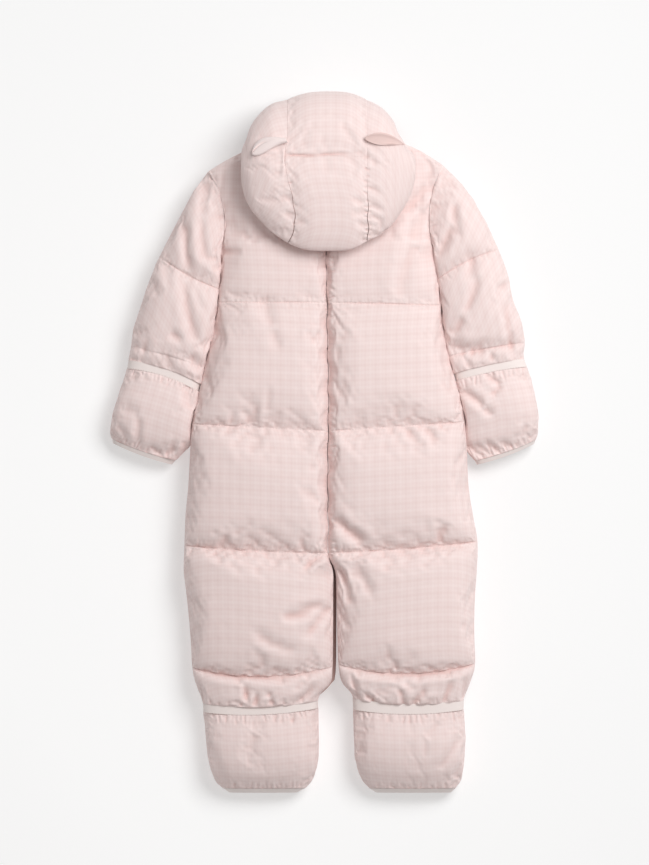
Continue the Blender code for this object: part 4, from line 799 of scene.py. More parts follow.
def inflate(points, hold, wadding):
    """Let a pad's outer cloth settle under the pressure of its wadding.

    hold is how firmly each point is kept: 1 for what is sewn down, a small share elsewhere.
    """
    bm = bmesh.new()
    order = add_net(bm, points, points[..., :2])
    bm.normal_update()
    middle = Vector(points.reshape(-1, 3).mean(axis=0) * MM)
    middle.z = min(middle.z, points[..., 2].min() * MM)
    if sum(face.normal.dot(face.calc_center_median() - middle) for face in bm.faces) < 0.0:
        bmesh.ops.reverse_faces(bm, faces=bm.faces[:])
    bm.verts.index_update()
    order = np.array([[vert.index for vert in row] for row in order])
    mesh = bpy.data.meshes.new("settling")
    bm.to_mesh(mesh)
    bm.free()
    pad = bpy.data.objects.new("settling", mesh)
    bpy.context.scene.collection.objects.link(pad)
    group = pad.vertex_groups.new(name="sewn")
    for index, weight in zip(order.ravel().tolist(), hold.ravel().tolist()):
        group.add([index], weight, "REPLACE")

    cloth = pad.modifiers.new("Cloth", "CLOTH")
    settings = cloth.settings
    for name, value in {
        "quality": wadding.quality, "mass": wadding.mass, "shrink_min": -wadding.slack,
        "tension_stiffness": wadding.tension, "compression_stiffness": wadding.tension,
        "shear_stiffness": wadding.shear, "bending_stiffness": wadding.bending,
        "air_damping": wadding.damping, "use_pressure": True, "use_pressure_volume": True,
        "target_volume": 0.0, "uniform_pressure_force": wadding.pressure, "vertex_group_mass": "sewn",
    }.items():
        setattr(settings, name, value)
    settings.effector_weights.gravity = 0.0
    cloth.collision_settings.use_collision = False
    cloth.point_cache.frame_start = 1
    cloth.point_cache.frame_end = wadding.frames
    scene = bpy.context.scene
    for number in range(1, wadding.frames + 1):
        scene.frame_set(number)
    settled = pad.evaluated_get(bpy.context.evaluated_depsgraph_get()).data
    places = np.empty(len(settled.vertices) * 3)
    settled.vertices.foreach_get("co", places)
    moved = places.reshape(-1, 3)[order] / MM - points
    bpy.data.objects.remove(pad, do_unlink=True)
    bpy.data.meshes.remove(mesh)
    scene.frame_set(1)
    length = np.linalg.norm(moved, axis=-1, keepdims=True)
    return points + moved * np.minimum(1.0, wadding.cap / np.maximum(length, MERGE))


# ---------------- body panels
def armhole_point(side, fraction, gap):
    """Point on the armhole seam, moved by gap towards the body."""
    armhole = ARMHOLES[side]
    inward = -OUTWARD[side]
    start = (armhole.tip_x, armhole.tip_y)
    end = (armhole.under_x, armhole.under_y)
    x, y = bowed_line(start, end, inward * armhole.bow, fraction)
    return x + inward * gap, y


def body_table(side):
    """The half body's rows with the armhole's points filled in."""
    filled = []
    for row in BODY[side]:
        if row.armhole is not None:
            x, y = armhole_point(side, row.armhole, ARMHOLE_GAP)
            row = row._replace(side_x=x, side_y=y)
        filled.append(row)
    return filled


def channel_puff(place):
    """Share of the full puff at places down the body, low where the layers are stitched through."""
    shares = np.full(np.shape(place), BODY_CHANNELS[-1].end_puff)
    for channel in reversed(BODY_CHANNELS):
        t = held((place - channel.start) / (channel.end - channel.start))
        ends = channel.start_puff + (channel.end_puff - channel.start_puff) * t
        shares = np.where(place <= channel.end, ends + (1.0 - ends) * valley(t), shares)
    return shares


def row_places(rows, step):
    """Places down the body where a panel has a row of points, closer together at the stitched rows."""
    places = [np.array([0.0])]
    for channel in BODY_CHANNELS:
        ends = column(rows, "side_y", (channel.start, channel.end))
        length = abs(ends[0] - ends[1])
        count = max(2, round(length / step))
        places.append(channel.start + (channel.end - channel.start) * spread(count, ROW_GATHER)[1:])
    return np.concatenate(places)


def centre_gap(y, is_front):
    """Half the gap at the centre line: the zip's opening on the front, a plain seam elsewhere."""
    if not is_front:
        return SEAM_GAP
    share = held((y - ZIP_FOOT[1]) / (ZIP_FOOT[0] - ZIP_FOOT[1]))
    return SEAM_GAP + (ZIP_HALF_GAP - SEAM_GAP) * share


def body_plan(side, rows, place, t, is_front):
    """Plan, edge height and share of height of a body panel; t runs from the centre to the side."""
    outward = OUTWARD[side]
    centre_x = column(rows, "centre_x", place)
    centre_y = column(rows, "centre_y", place)
    if is_front:
        centre_y = centre_y - FRONT_NECK_DROP * np.maximum(0.0, 1.0 - place)
        shift = LEG_SHIFT * held(place - LEG_ROW) * held(CALF_ROW - place)
        centre_x = centre_x + shift
    else:
        for size, length in SEAM_WANDER:
            centre_x = centre_x + size * np.sin(centre_y / length) * held(LEG_ROW - place)
    centre_x = centre_x + np.where(place <= LEG_ROW, outward * centre_gap(centre_y, is_front), 0.0)
    edge = (column(rows, "side_x", place), column(rows, "side_y", place))
    x, y = bowed_line((centre_x, centre_y), edge, column(rows, "bow", place) * outward, t)
    armhole_share = rounded(held(place / ARMHOLE_END_ROW), PUFF_POWER)
    side_rim = EDGE_RIM if is_front else np.interp(place, *zip(*SIDE_RIMS))
    side_rim = side_rim + (ARMHOLE_RIM - EDGE_RIM) * np.where(place < ARMHOLE_END_ROW, armhole_share, 0.0)
    if is_front:
        centre_rim = EDGE_RIM + (FRONT_RIM - EDGE_RIM) * held(LEG_ROW + 1 - place)
    else:
        centre_rim = np.interp(place, *zip(*INNER_RIMS))
    rim = centre_rim + (side_rim - centre_rim) * t
    hump = rounded(t, PUFF_POWER)
    seamed = held(LEG_ROW + 1 - place) * (t < 0.5)
    return x, y, rim, (hump + (valley(t, CENTRE_POWER) - hump) * seamed) * channel_puff(place)


def creased_hold(dip):
    """How firmly cloth is kept where a crease presses it down."""
    return np.clip(np.abs(dip) * CREASE_HOLD, 0.0, CREASE_HOLD_MAX)


def panel_point(side, rows, place, t, is_front):
    """Plan of one point of a body panel."""
    x, y, _, _ = body_plan(side, rows, np.array(float(place)), np.array(t), is_front)
    return float(x), float(y)


def body_hold(places, columns):
    """How firmly each point of a body panel is kept: sewn at its edges and at the quilting."""
    hold = np.full((len(places), columns + 1), LOOSE)
    for row, weight in QUILTED_ROWS:
        hold[nearest(places, row)] = weight
    hold[0] = hold[-1] = 1.0
    hold[:, 0] = hold[:, -1] = 1.0
    return hold


def back_puckers(side, rows):
    """Short puckers off the quilting and the centre seam of a back."""
    made = []
    outward = OUTWARD[side]
    for row, gather in BACK_PUCKERS.items():
        def line(s, row=row):
            return panel_point(side, rows, row, BACK_SPAN[0] + BACK_SPAN[1] * s, False)
        for way, count in ((outward, gather.count), (-outward, gather.count // 2 if row < CALF_END else 0)):
            made += puckers(line, gather._replace(count=count), 0 if side == "left" else 1, (way,))

    def seam(s):
        return panel_point(side, rows, SEAM_PUCKERS_FROM + (LEG_ROW - SEAM_PUCKERS_FROM) * s, 0.0, False)
    return made + puckers(seam, SEAM_PUCKERS[side], into=(outward,))


def back_net(side, wadding):
    """The half back's settled net: points, place on the cloth and places of its rows."""
    rows = body_table(side)
    places = row_places(rows, BACK_STEP)
    place = places[:, None]
    t = spread(BACK_COLUMNS)[None, :]
    x, y, rim, share = body_plan(side, rows, place, t, False)
    level = MIDDLE + LAYER_GAP / 2
    height = column(rows, "puff", place) - level - rim
    z = level + rim + height * share
    points = net_of(x, y, z)
    flat = body_chart(side, points, places)
    dip = crease_depth(x, y, BODY_CREASES[side])
    points[..., 2] -= dip * np.sqrt(np.maximum(share, 0.0))
    hold = np.maximum(body_hold(places, BACK_COLUMNS), creased_hold(dip))
    settled = refined(inflate(points, hold, wadding), BACK_FINE)
    share = held(refined(share[..., None], BACK_FINE)[..., 0])
    fine = pressed(settled, back_puckers(side, rows))
    fine = fine + CREASE_AGAIN * pressed(settled, BODY_CREASES[side])
    settled[..., 2] -= fine * np.sqrt(share)
    return settled, refined(flat, BACK_FINE), places


def body_chart(side, points, places):
    """Place of a body panel's points on the flat cloth: the check runs level at the waist's quilting."""
    flat = chart(points, 0, nearest(places, WAIST_ROW))
    flat[..., 0] = flat[..., 0] * OUTWARD[side] + points[:, :1, 0] - GRAIN_X
    return flat


def front_net(side):
    """The half front's net, its underside pressed flat where it lies, with its creases."""
    rows = body_table(side)
    places = row_places(rows, FRONT_STEP)
    place = places[:, None]
    t = spread(FRONT_COLUMNS)[None, :]
    x, y, rim, share = body_plan(side, rows, place, t, True)
    level = MIDDLE - LAYER_GAP / 2
    z = level - rim - (level - rim) * UNDER_DEPTH * share
    floor = np.maximum(column(rows, "under", place), 0.0)
    points = net_of(x, y, np.maximum(z, floor))
    flat = body_chart(side, points, places)
    dip = np.maximum(crease_depth(x, y, front_creases(side, rows)), 0.0)
    room = (level - rim - points[..., 2]) * CREASE_ROOM
    points[..., 2] += np.minimum(dip * np.sqrt(np.maximum(share, 0.0)), room)
    return points, flat, places


def front_creases(side, rows):
    """Short puckers off the quilting and the edges of a front, and the main creases of its back."""
    made = list(BODY_CREASES[side])
    for row in STITCHED_ROWS:
        def line(s, row=row):
            return panel_point(side, rows, row, FRONT_SPAN[0] + FRONT_SPAN[1] * s, True)
        made += puckers(line, FRONT_PUCKERS, row, (1.0, -1.0))
    return made


# ---------------- sleeves, covers, bands and bindings
def side_edge_x(side, y):
    """X of the body's side edge at a level below the underarm."""
    rows = body_table(side)[ARMHOLE_END_ROW:]
    return float(np.interp(-y, [-row.side_y for row in rows], [row.side_x for row in rows]))


def tube_table(rows, side):
    """A tube's rows with the missing inner edges set against the body's side edge."""
    filled = []
    for index, row in enumerate(rows):
        if row.inner_x is None and index == 0:
            row = row._replace(inner_x=ARMHOLES[side].under_x)
        elif row.inner_x is None:
            row = row._replace(inner_x=side_edge_x(side, row.inner_y) - OUTWARD[side] * SLEEVE_PRESS)
        filled.append(row)
    return filled


def tube_section(rows, place):
    """A tube's inner edge, outer edge, bow and top level at places between its rows."""
    inner = (column(rows, "inner_x", place), column(rows, "inner_y", place))
    outer = (column(rows, "outer_x", place), column(rows, "outer_y", place))
    return inner, outer, column(rows, "bow", place), column(rows, "top", place)


def stitched_share(rows, place):
    """Share of the full puff near a stitched row of a tube."""
    share = np.ones(np.shape(place))
    for index, row in enumerate(rows):
        if row.puff < 1.0:
            rise = np.minimum(np.abs(place - index) * STITCH_SLOPE, 1.0) ** STITCH_ROUND
            share = np.minimum(share, row.puff + (1.0 - row.puff) * rise)
    return share


def inset_line(start, end, inset):
    """The line from start to end shortened by inset at both ends."""
    length = np.hypot(end[0] - start[0], end[1] - start[1])
    ux = (end[0] - start[0]) / length
    uy = (end[1] - start[1]) / length
    return (start[0] + ux * inset, start[1] + uy * inset), (end[0] - ux * inset, end[1] - uy * inset)


def tube_places(rows, spacing):
    """Places along a tube where its net has rows: even by length, closer together at what is stitched."""
    last = len(rows) - 1
    stops = {0, last} | {index for index, row in enumerate(rows) if row.puff < 1.0}
    tucked = [index for index, row in enumerate(rows[:-1]) if row.under]
    stops = sorted(stops | {index + step for index in tucked for step in (-1, 0)})
    fine = np.linspace(0.0, last, last * LOOKUP_STEPS + 1)
    inner, outer, _, _ = tube_section(rows, fine)
    run = running_length(np.stack([inner[0] + outer[0], inner[1] + outer[1]], axis=-1) / 2)
    places = [np.array([0.0])]
    for start, end in zip(np.interp(stops[:-1], fine, run), np.interp(stops[1:], fine, run)):
        count = max(2, round((end - start) / spacing))
        places.append(np.interp(start + (end - start) * spread(count, ROW_GATHER)[1:], run, fine))
    return np.concatenate(places), stops


def rim_line(rows, side, place):
    """The line across a tube at one place, as a function of a share along it."""
    inner, outer, bow, _ = tube_section(rows, np.array(place))

    def line(s):
        x, y = bowed_line(inner, outer, bow * OUTWARD[side], RIM_SPAN[0] + (RIM_SPAN[1] - RIM_SPAN[0]) * s)
        return float(x), float(y)
    return line


def limb_gathers(name, rows, side, seed_shift=0):
    """Gathers of a cover at its band and its mouth; puckers of a sleeve at both ends and stitched rows."""
    made = []
    table = tube_table(rows, side)
    last = len(rows) - 1.0
    if name in COVER_GATHERS:
        at_band, at_mouth = COVER_GATHERS[name]
        places = ((at_band, 0.0, (1.0,)), (at_mouth, last, (-1.0,)))
    else:
        places = [(SLEEVE_END_PUCKERS, 0.0, (1.0,)), (SLEEVE_END_PUCKERS, last - 2.0, (-1.0,))]
        stitched = [float(index) for index, row in enumerate(rows) if row.puff < 1.0]
        places += [(SLEEVE_PUCKERS, place, (1.0, -1.0)) for place in stitched]
    for gather, place, ways in places:
        inward = [-OUTWARD[side] * way for way in ways]
        made += puckers(rim_line(table, side, place), gather, seed_shift + int(place), inward)
    return made


class Tube:
    """A tube laid flat: an outer skin round it, a narrow slot through it, both ends open."""

    def __init__(self, side, rows, net, wall, power=PUFF_POWER, inner_power=None, thin=False, creases=(),
                 gathers=(), under_creases=()):
        self.sign = OUTWARD[side]
        self.rows = tube_table(rows, side)
        self.net = net
        self.wall = wall
        self.power = power
        self.inner_power = inner_power or power
        self.thin = thin
        self.creases = creases
        self.gathers = gathers
        self.under_creases = under_creases
        self.places, self.stops = tube_places(self.rows, net.step)

    def plan(self, place, t, inset=0.0):
        """Plan of the tube's flattened form and its top level."""
        inner, outer, bow, top = tube_section(self.rows, place)
        inner, outer = inset_line(inner, outer, inset)
        x, y = bowed_line(inner, outer, bow * self.sign, t)
        return x, y, top

    def hump(self, t):
        """Share of the full height across the tube."""
        return np.where(t < 0.5, rounded(t, self.inner_power), rounded(t, self.power))

    def levels(self, place, top):
        """Level of the slot and of the underside."""
        under = column(self.rows, "under", place)
        return np.minimum(MIDDLE, (top + UNDER_LIFT * under) * MIDDLE_SHARE), under

    def skin(self, place, t, upper):
        """Points of the outer skin."""
        x, y, top = self.plan(place, t)
        middle, under = self.levels(place, top)
        hump = self.hump(t) * stitched_share(self.rows, place)
        if upper:
            z = middle + (top - middle) * hump - crease_depth(x, y, self.creases) * np.sqrt(hump)
        else:
            z = np.maximum(np.maximum(middle - middle * UNDER_DEPTH * hump, under), 0.0)
            z = z + np.maximum(crease_depth(x, y, self.under_creases), 0.0) * hump
        return net_of(x, y, z)

    def slot(self, place, t, upper):
        """Points of the slot between the two layers."""
        x, y, top = self.plan(place, t, self.wall)
        middle, _ = self.levels(place, top)
        if self.thin:
            hump = rounded(t, self.power)
            if upper:
                z = middle + (top - self.wall - middle) * hump
            else:
                z = np.maximum(self.wall, middle - (middle - self.wall) * UNDER_DEPTH * hump)
        else:
            air = LAYER_GAP / 2 if upper else -LAYER_GAP / 2
            z = middle + np.where((t < MERGE) | (t > 1.0 - MERGE), 0.0, air)
        return net_of(x, y, z)

    def hold(self):
        """How firmly each point of the upper skin is kept."""
        hold = np.full((len(self.places), self.net.over + 1), LOOSE)
        for stop in self.stops:
            puff = self.rows[stop].puff
            kept = min(1.0, (HELD_BELOW - puff) * HELD_RISE) if puff < 1.0 else 1.0
            hold[nearest(self.places, stop)] = kept
        tucked = [index for index, row in enumerate(self.rows) if row.under]
        if tucked:
            hold[self.places > tucked[0] - 1.0 - MERGE] = 1.0
        hold[:, 0] = hold[:, -1] = 1.0
        return hold

    def drawn_in(self, upper):
        """The settled upper skin with its gathers, and its creases drawn in a little more."""
        place = np.interp(np.arange(len(upper)), np.arange(len(self.places)) * FINE, self.places)[:, None]
        t = np.linspace(0.0, 1.0, upper.shape[1])[None, :]
        hump = self.hump(t) * stitched_share(self.rows, place)
        dip = pressed(upper, self.gathers)
        dip = dip + CREASE_AGAIN * pressed(upper, self.creases)
        upper[..., 2] -= dip * np.sqrt(hump)
        return upper

    def mesh(self, wadding=None, factor=FINE):
        """The closed tube as a bmesh, its upper skin settled first if it is padded."""
        over = spread(self.net.over)[None, :]
        under = spread(self.net.under)[None, ::-1]
        place = self.places[:, None]
        upper = self.skin(place, over, True)
        lower = self.skin(place, under, False)
        ring = np.concatenate([refined(upper, factor), refined(lower, factor)[:, 1:]], axis=1)
        flat = chart(ring, self.net.over * factor // 2)
        if wadding:
            upper = self.drawn_in(refined(inflate(upper, self.hold(), wadding), factor))
            ring[:, :upper.shape[1]] = upper
        ring[:, -1] = ring[:, 0]
        last = len(self.rows) - 1.0
        slot_place = np.linspace(last, 0.0, self.net.slot + 1)[:, None]
        slot_over = self.slot(slot_place, spread(self.net.over * factor)[None, :], True)
        slot_under = self.slot(slot_place, spread(self.net.under * factor)[None, ::-1], False)
        slot = np.concatenate([slot_over, slot_under[:, 1:]], axis=1)
        points = np.concatenate([ring, slot, ring[:1]], axis=0)
        slot_flat = np.repeat(flat[:1], len(slot), axis=0)
        slot_flat[..., 1] = flat[0, 0, 1] - slot_place * (flat[0, 0, 1] - flat[-1, 0, 1]) / last
        flats = np.concatenate([flat, slot_flat, flat[:1]], axis=0)
        bm = bmesh.new()
        add_net(bm, points, flats, lined_from=len(ring))
        bmesh.ops.remove_doubles(bm, verts=bm.verts[:], dist=MERGE)
        bmesh.ops.recalc_face_normals(bm, faces=bm.faces[:])
        return bm, ring


# ---------------- hood
def hood_slice_point(row, place):
    """Place of the hood's unpinched skin in its slices."""
    crown = column(HOOD, "crown_y", row)
    fold = column(HOOD, "fold_y", row)
    fullness = column(HOOD, "fullness", row)
    along = column(HOOD_PROFILE, "along", place)
    level = column(HOOD_PROFILE, "level", place)
    return fold + (crown - fold) * along, HOOD_POLE + (level - HOOD_POLE) * fullness


def hood_skin(row, place, depth):
    """Points of the slices moved inwards, square to the skin."""
    y, z = hood_slice_point(row, place)
    y0, z0 = hood_slice_point(row, np.maximum(place - PROFILE_STEP, 0.0))
    y1, z1 = hood_slice_point(row, np.minimum(place + PROFILE_STEP, len(HOOD_PROFILE) - 1.0))
    length = np.hypot(y1 - y0, z1 - z0)
    return y - (z1 - z0) / length * depth, z + (y1 - y0) / length * depth


def hood_pinch(row, place):
    """How far the outer skin is drawn in at the two seams and at the middle panel's cross quilting."""
    first, last = HOOD_PANELS["hood_centre"]
    dip = np.zeros(np.broadcast(row, place).shape)
    for seam in (first, last):
        dip = np.maximum(dip, HOOD_SEAM_DIP * np.exp(-((row - seam) / HOOD_SEAM_WIDTH) ** 2))
    away = np.abs((place - HOOD_QUILT_ROW) / HOOD_QUILT_WIDTH)
    across = HOOD_QUILT_DIP * np.exp(-away ** HOOD_QUILT_POWER)
    return np.maximum(dip, np.where((row >= first) & (row <= last), across, 0.0))


def seam_strain(y):
    """How much the hood's seams are drawn up: nought at the crown, one low down."""
    return held((y - HOOD_GAP_Y[0]) / (HOOD_GAP_Y[1] - HOOD_GAP_Y[0]))


def hood_sway(row, place, y):
    """How far the left seam and the cloth beside it lie to the side, on the hood's upper skin."""
    on_top = held((HOOD_FOLD_PLACE - place) / HOOD_SWAY_FADE)
    sway = np.interp(y, *zip(*HOOD_SWAY)) * np.exp(-((row - HOOD_SWAY_ROW) / HOOD_SWAY_WIDTH) ** 2)
    for seam in HOOD_PANELS["hood_centre"]:
        beside = np.exp(-((row - seam) / HOOD_SEAM_WIDTH) ** 2) * seam_strain(y)
        sway = sway + HOOD_WANDER[0] * np.sin(y / HOOD_WANDER[1] + seam) * beside
    return sway * on_top


def hood_x(name, row, place, y, shrink):
    """X of the slices of a panel, with the air at its seams."""
    first, last = HOOD_PANELS[name]
    middle = HOOD[HOOD_MIDDLE_ROW].x
    x = middle + (column(HOOD, "x", row) - middle) * shrink
    x = x + hood_sway(row, place, y)
    for seam, crown_gap, low_gap in zip(HOOD_PANELS["hood_centre"], HOOD_SEAM_GAP, HOOD_GAP_LOW):
        gap = crown_gap + (low_gap - crown_gap) * seam_strain(y)
        x = x + np.where(row == seam, gap * ((first == seam) * 1.0 - (last == seam) * 1.0), 0.0)
    return x


def hood_places():
    """Places down the profile where the hood's nets have rows: even by length, with one at the quilting."""
    stops = [0.0, HOOD_QUILT_ROW, len(HOOD_PROFILE) - 1.0]
    fine = np.linspace(0.0, stops[-1], int(stops[-1]) * LOOKUP_STEPS + 1)
    run = running_length(np.stack(hood_slice_point(HOOD_MIDDLE_ROW, fine), axis=-1))
    places = [np.array([0.0])]
    for start, end in zip(np.interp(stops[:-1], fine, run), np.interp(stops[1:], fine, run)):
        count = round((end - start) / HOOD_STEP)
        places.append(np.interp(np.linspace(start, end, count + 1)[1:], run, fine))
    return np.concatenate(places)


def hood_puckers():
    """Short puckers to both sides of the hood's seams, most of them low down."""
    made = []
    for seam, gather in zip(HOOD_PANELS["hood_centre"], HOOD_SEAM_PUCKERS):
        x = HOOD[seam].x

        def line(s, x=x, seam=seam):
            y = HOOD_PUCKERS_FROM + (HOOD_PUCKERS_TO - HOOD_PUCKERS_FROM) * s ** HOOD_PUCKERS_LOW
            return x + float(hood_sway(float(seam), HOOD_CROWN_PLACE, y)), y
        made += puckers(line, gather, into=(1.0, -1.0))
    return made


def hood_panel(name, wadding):
    """One hood panel: a padded wall between two seams, its outer skin settled."""
    first, last = HOOD_PANELS[name]
    places = hood_places()[:, None]
    rows = (first + (last - first) * spread(HOOD_COLUMNS[name], HOOD_GATHER))[None, :]

    def skin(depth, shrink):
        y, z = hood_skin(rows, places, depth)
        return net_of(hood_x(name, rows, places, y, shrink), y, z)

    creases = HOOD_CREASES[name]
    smooth = skin(0.0, 1.0)
    on_top = held((smooth[..., 2] - HOOD_POLE) / HOOD_TOP_RISE)
    dip = pressed(smooth, creases) * on_top
    outer = skin(hood_pinch(rows, places) + dip, 1.0)
    hold = np.full(outer.shape[:2], LOOSE)
    hold[0] = hold[-1] = hold[:, 0] = hold[:, -1] = 1.0
    if name == "hood_centre":
        hold[nearest(places, HOOD_QUILT_ROW)] = 1.0
    hold = np.maximum(hold, creased_hold(dip))
    flat = chart(refined(outer, FINE), HOOD_COLUMNS[name])
    settled = refined(inflate(outer, hold, wadding), FINE)
    again = CREASE_AGAIN * pressed(settled, creases)
    again = again + pressed(settled, HOOD_DRAWN[name] + hood_puckers())
    settled[..., 2] -= again * refined(on_top[..., None], FINE)[..., 0]
    wall = HOOD_WALL * np.minimum(column(HOOD, "fullness", rows), 1.0)
    inner = refined(skin(wall, HOOD_INNER_SHARE), FINE)
    bm = bmesh.new()
    add_net(bm, settled, flat)
    add_net(bm, inner, flat, lined_from=0)
    for face in join_rims(bm):
        if HOOD[HOOD_LINED_ROW].x < face.calc_center_median().x / MM < HOOD[-1 - HOOD_LINED_ROW].x:
            face.material_index = 1
    return bm, settled


def hood_level(x, y):
    """Level of the hood's upper skin over points in plan."""
    rows = np.linspace(0.0, len(HOOD) - 1.0, HOOD_LOOKUP[0])
    row = np.interp(x, column(HOOD, "x", rows), rows)
    places = np.linspace(HOOD_CROWN_PLACE, HOOD_FOLD_PLACE, HOOD_LOOKUP[1])
    y_all, z_all = hood_slice_point(row[..., None], places)
    level = np.empty(row.shape)
    for where in np.ndindex(row.shape):
        level[where] = np.interp(-y[where], -y_all[where], z_all[where])
    return level


def ear_mesh(name, profile):
    """A leaf-shaped ear of two layers: profile gives the height of its upper skin across and along it."""
    ear = EARS[name]
    along = spread(EAR_COLUMNS, EAR_GATHER)[None, :]
    across = np.linspace(-1.0, 1.0, EAR_ROWS + 1)[:, None]
    leaf = np.sin(math.pi * (EAR_ROOT_PHASE + (1.0 - EAR_ROOT_PHASE) * along ** ear.skew)) ** ear.round
    half_width = ear.width / 2 * np.maximum(leaf, EAR_TIP_SHARE)
    x, y = bowed_line((ear.root_x, ear.root_y), (ear.tip_x, ear.tip_y), ear.bend, along)
    length = math.hypot(ear.tip_x - ear.root_x, ear.tip_y - ear.root_y)
    x = x - (ear.tip_y - ear.root_y) / length * half_width * across
    y = y + (ear.tip_x - ear.root_x) / length * half_width * across
    under = hood_level(x, y) + EAR_LIFT + EAR_TIP_LIFT * along ** 2
    upper = under + profile(along, across)
    bm = bmesh.new()
    flat = chart(net_of(x, y, under), 0)
    add_net(bm, net_of(x, y, upper), flat)
    add_net(bm, net_of(x, y, under), flat)
    join_rims(bm)
    return bm


def folded_ear(along, across):
    """Height of an ear folded along its length, with a slit between its two lobes."""
    lobes = np.sqrt(np.maximum(1.0 - across ** 2, 0.0))
    opened = held(along * EAR_SLIT_OPENS[0] - EAR_SLIT_OPENS[1])
    slit = np.exp(-((across + EAR_SLIT_PLACE) / EAR_SLIT_WIDTH) ** 2) * opened
    return EAR_EDGE + (EAR_THICK - EAR_EDGE) * lobes * (1.0 - EAR_THINS * along) - EAR_SLIT_DEPTH * slit


def dished_ear(along, across):
    """Height of an ear opened out: a raised rim round a hollow."""
    rim = np.exp(-((across - EAR_RIM_PLACE) / EAR_RIM_WIDTH) ** 2)
    lip = np.exp(-((across - EAR_LIP_AT[0]) / EAR_LIP_WIDTH) ** 2)
    lip = lip * np.exp(-((along - EAR_LIP_AT[1]) / EAR_LIP_WIDTH) ** 2)
    body = np.sin(math.pi * np.clip(along, *EAR_BODY_SPAN)) ** EAR_BODY_ROUND
    tilt = ((across + 1.0) / 2.0) ** EAR_TILT_POWER
    return EAR_EDGE + (EAR_TILT * tilt + EAR_RIM_HEIGHT * (rim + EAR_LIP_HEIGHT * lip)) * body


# ---------------- front zip
def zip_x(y):
    """X of the garment's centre line above the crotch."""
    places = np.linspace(0.0, LEG_ROW, LEG_ROW * CENTRE_STEPS + 1)
    rows = BODY["left"]
    return np.interp(-np.asarray(y), -column(rows, "centre_y", places), column(rows, "centre_x", places))


def zip_tape_mesh():
    """The woven tape between the front panels, thicker along its middle where the teeth are clamped."""
    levels = np.linspace(TAPE_TOP_Y, TAPE_FOOT_Y, TAPE_ROWS + 1)[:, None]
    offsets = np.array(TAPE_OFFSETS)[None, :]
    x = zip_x(levels) + offsets
    cord = TAPE_CORD * np.exp(-((np.abs(offsets) - CORD_PLACE) / CORD_WIDTH) ** 2)
    bm = bmesh.new()
    for level in (TAPE_LEVEL - cord, TAPE_LEVEL + TAPE_THICK):
        points = net_of(x, levels, level)
        add_net(bm, points, points[..., :2])
    join_rims(bm)
    return bm


def add_block(bm, size, centre, bevel):
    """A block with bevelled edges, in millimetres."""
    size = [length * MM for length in size] + [1.0]
    matrix = Matrix.Translation(Vector(centre) * MM) @ Matrix.Diagonal(size)
    made = bmesh.ops.create_cube(bm, size=1.0, matrix=matrix)
    edges = list({edge for vert in made["verts"] for edge in vert.link_edges})
    bmesh.ops.bevel(bm, geom=edges, offset=bevel * MM, affect="EDGES", segments=1, profile=0.5, material=-1)


def zip_teeth_mesh():
    """The closed chain: moulded teeth from the two tapes in turn, below the slider."""
    bm = bmesh.new()
    count = int((CHAIN_TOP_Y - TAPE_FOOT_Y - TOOTH_PITCH) / (TOOTH_PITCH / 2))
    for index in range(count):
        y = CHAIN_TOP_Y - index * TOOTH_PITCH / 2
        way = 1.0 if index % 2 else -1.0
        x = float(zip_x(y)) + way * TOOTH_OFFSET
        add_block(bm, TOOTH_SIZE, (x, y, TAPE_LEVEL - TOOTH_SIZE[2] / 2), TOOTH_BEVEL)
    centre = (float(zip_x(TAPE_FOOT_Y)), TAPE_FOOT_Y + STOP_SIZE[1] / 2, TAPE_LEVEL - STOP_SIZE[2] / 2)
    add_block(bm, STOP_SIZE, centre, STOP_BEVEL)
    return bm


# ---------------- stitching
class Stitching:
    """Rows of stitches gathered from the pieces as they are made."""

    def __init__(self):
        self.lines = []

    def add(self, points, face=1.0):
        """A row of stitches along points in millimetres, on the upper face, or at -1 on the under face."""
        self.lines.append((np.asarray(points, dtype=float), face))

    def mesh(self):
        """All the stitches as one bmesh."""
        if not self.lines:
            raise RuntimeError("make the panels before their stitching")
        size = Matrix.Diagonal((STITCH_LENGTH / 2 * MM, STITCH_THICK / 2 * MM, STITCH_THICK / 2 * MM, 1.0))
        bm = bmesh.new()
        for points, face in self.lines:
            run = running_length(points)
            for index in range(int(run[-1] / STITCH_PITCH)):
                start = (index + 0.5) * STITCH_PITCH - STITCH_LENGTH / 2
                ends = [np.array([np.interp(s, run, points[:, axis]) for axis in range(3)])
                        for s in (start, start + STITCH_LENGTH)]
                centre = (ends[0] + ends[1]) / 2 + np.array([0.0, 0.0, STITCH_LIFT * face])
                along = Vector(ends[1] - ends[0])
                turn = along.to_track_quat("X", "Z").to_matrix().to_4x4()
                matrix = Matrix.Translation(Vector(centre) * MM) @ turn @ size
                bmesh.ops.create_icosphere(bm, subdivisions=1, radius=1.0, matrix=matrix)
        return bm


stitching = Stitching()


# ---------------- materials
class Shade:
    """One socket of a material, so that shader maths reads as a sum."""

    def __init__(self, finish, socket):
        self.finish = finish
        self.socket = socket

    def math(self, operation, *values):
        """The result of one Math node."""
        return self.finish.node("ShaderNodeMath", {"operation": operation}, dict(enumerate(values)))

    def __add__(self, other):
        return self.math("ADD", self, other)

    def __radd__(self, other):
        return self.math("ADD", other, self)

    def __mul__(self, other):
        return self.math("MULTIPLY", self, other)

    def __truediv__(self, other):
        return self.math("DIVIDE", self, other)

    def fraction(self):
        """What is left over a whole number."""
        return self.math("FRACT", self)

    def wave(self, repeat):
        """A wave between 0 and 1 for each repeat, in metres."""
        return self.math("SINE", self * (2.0 * math.pi / repeat)) * 0.5 + 0.5


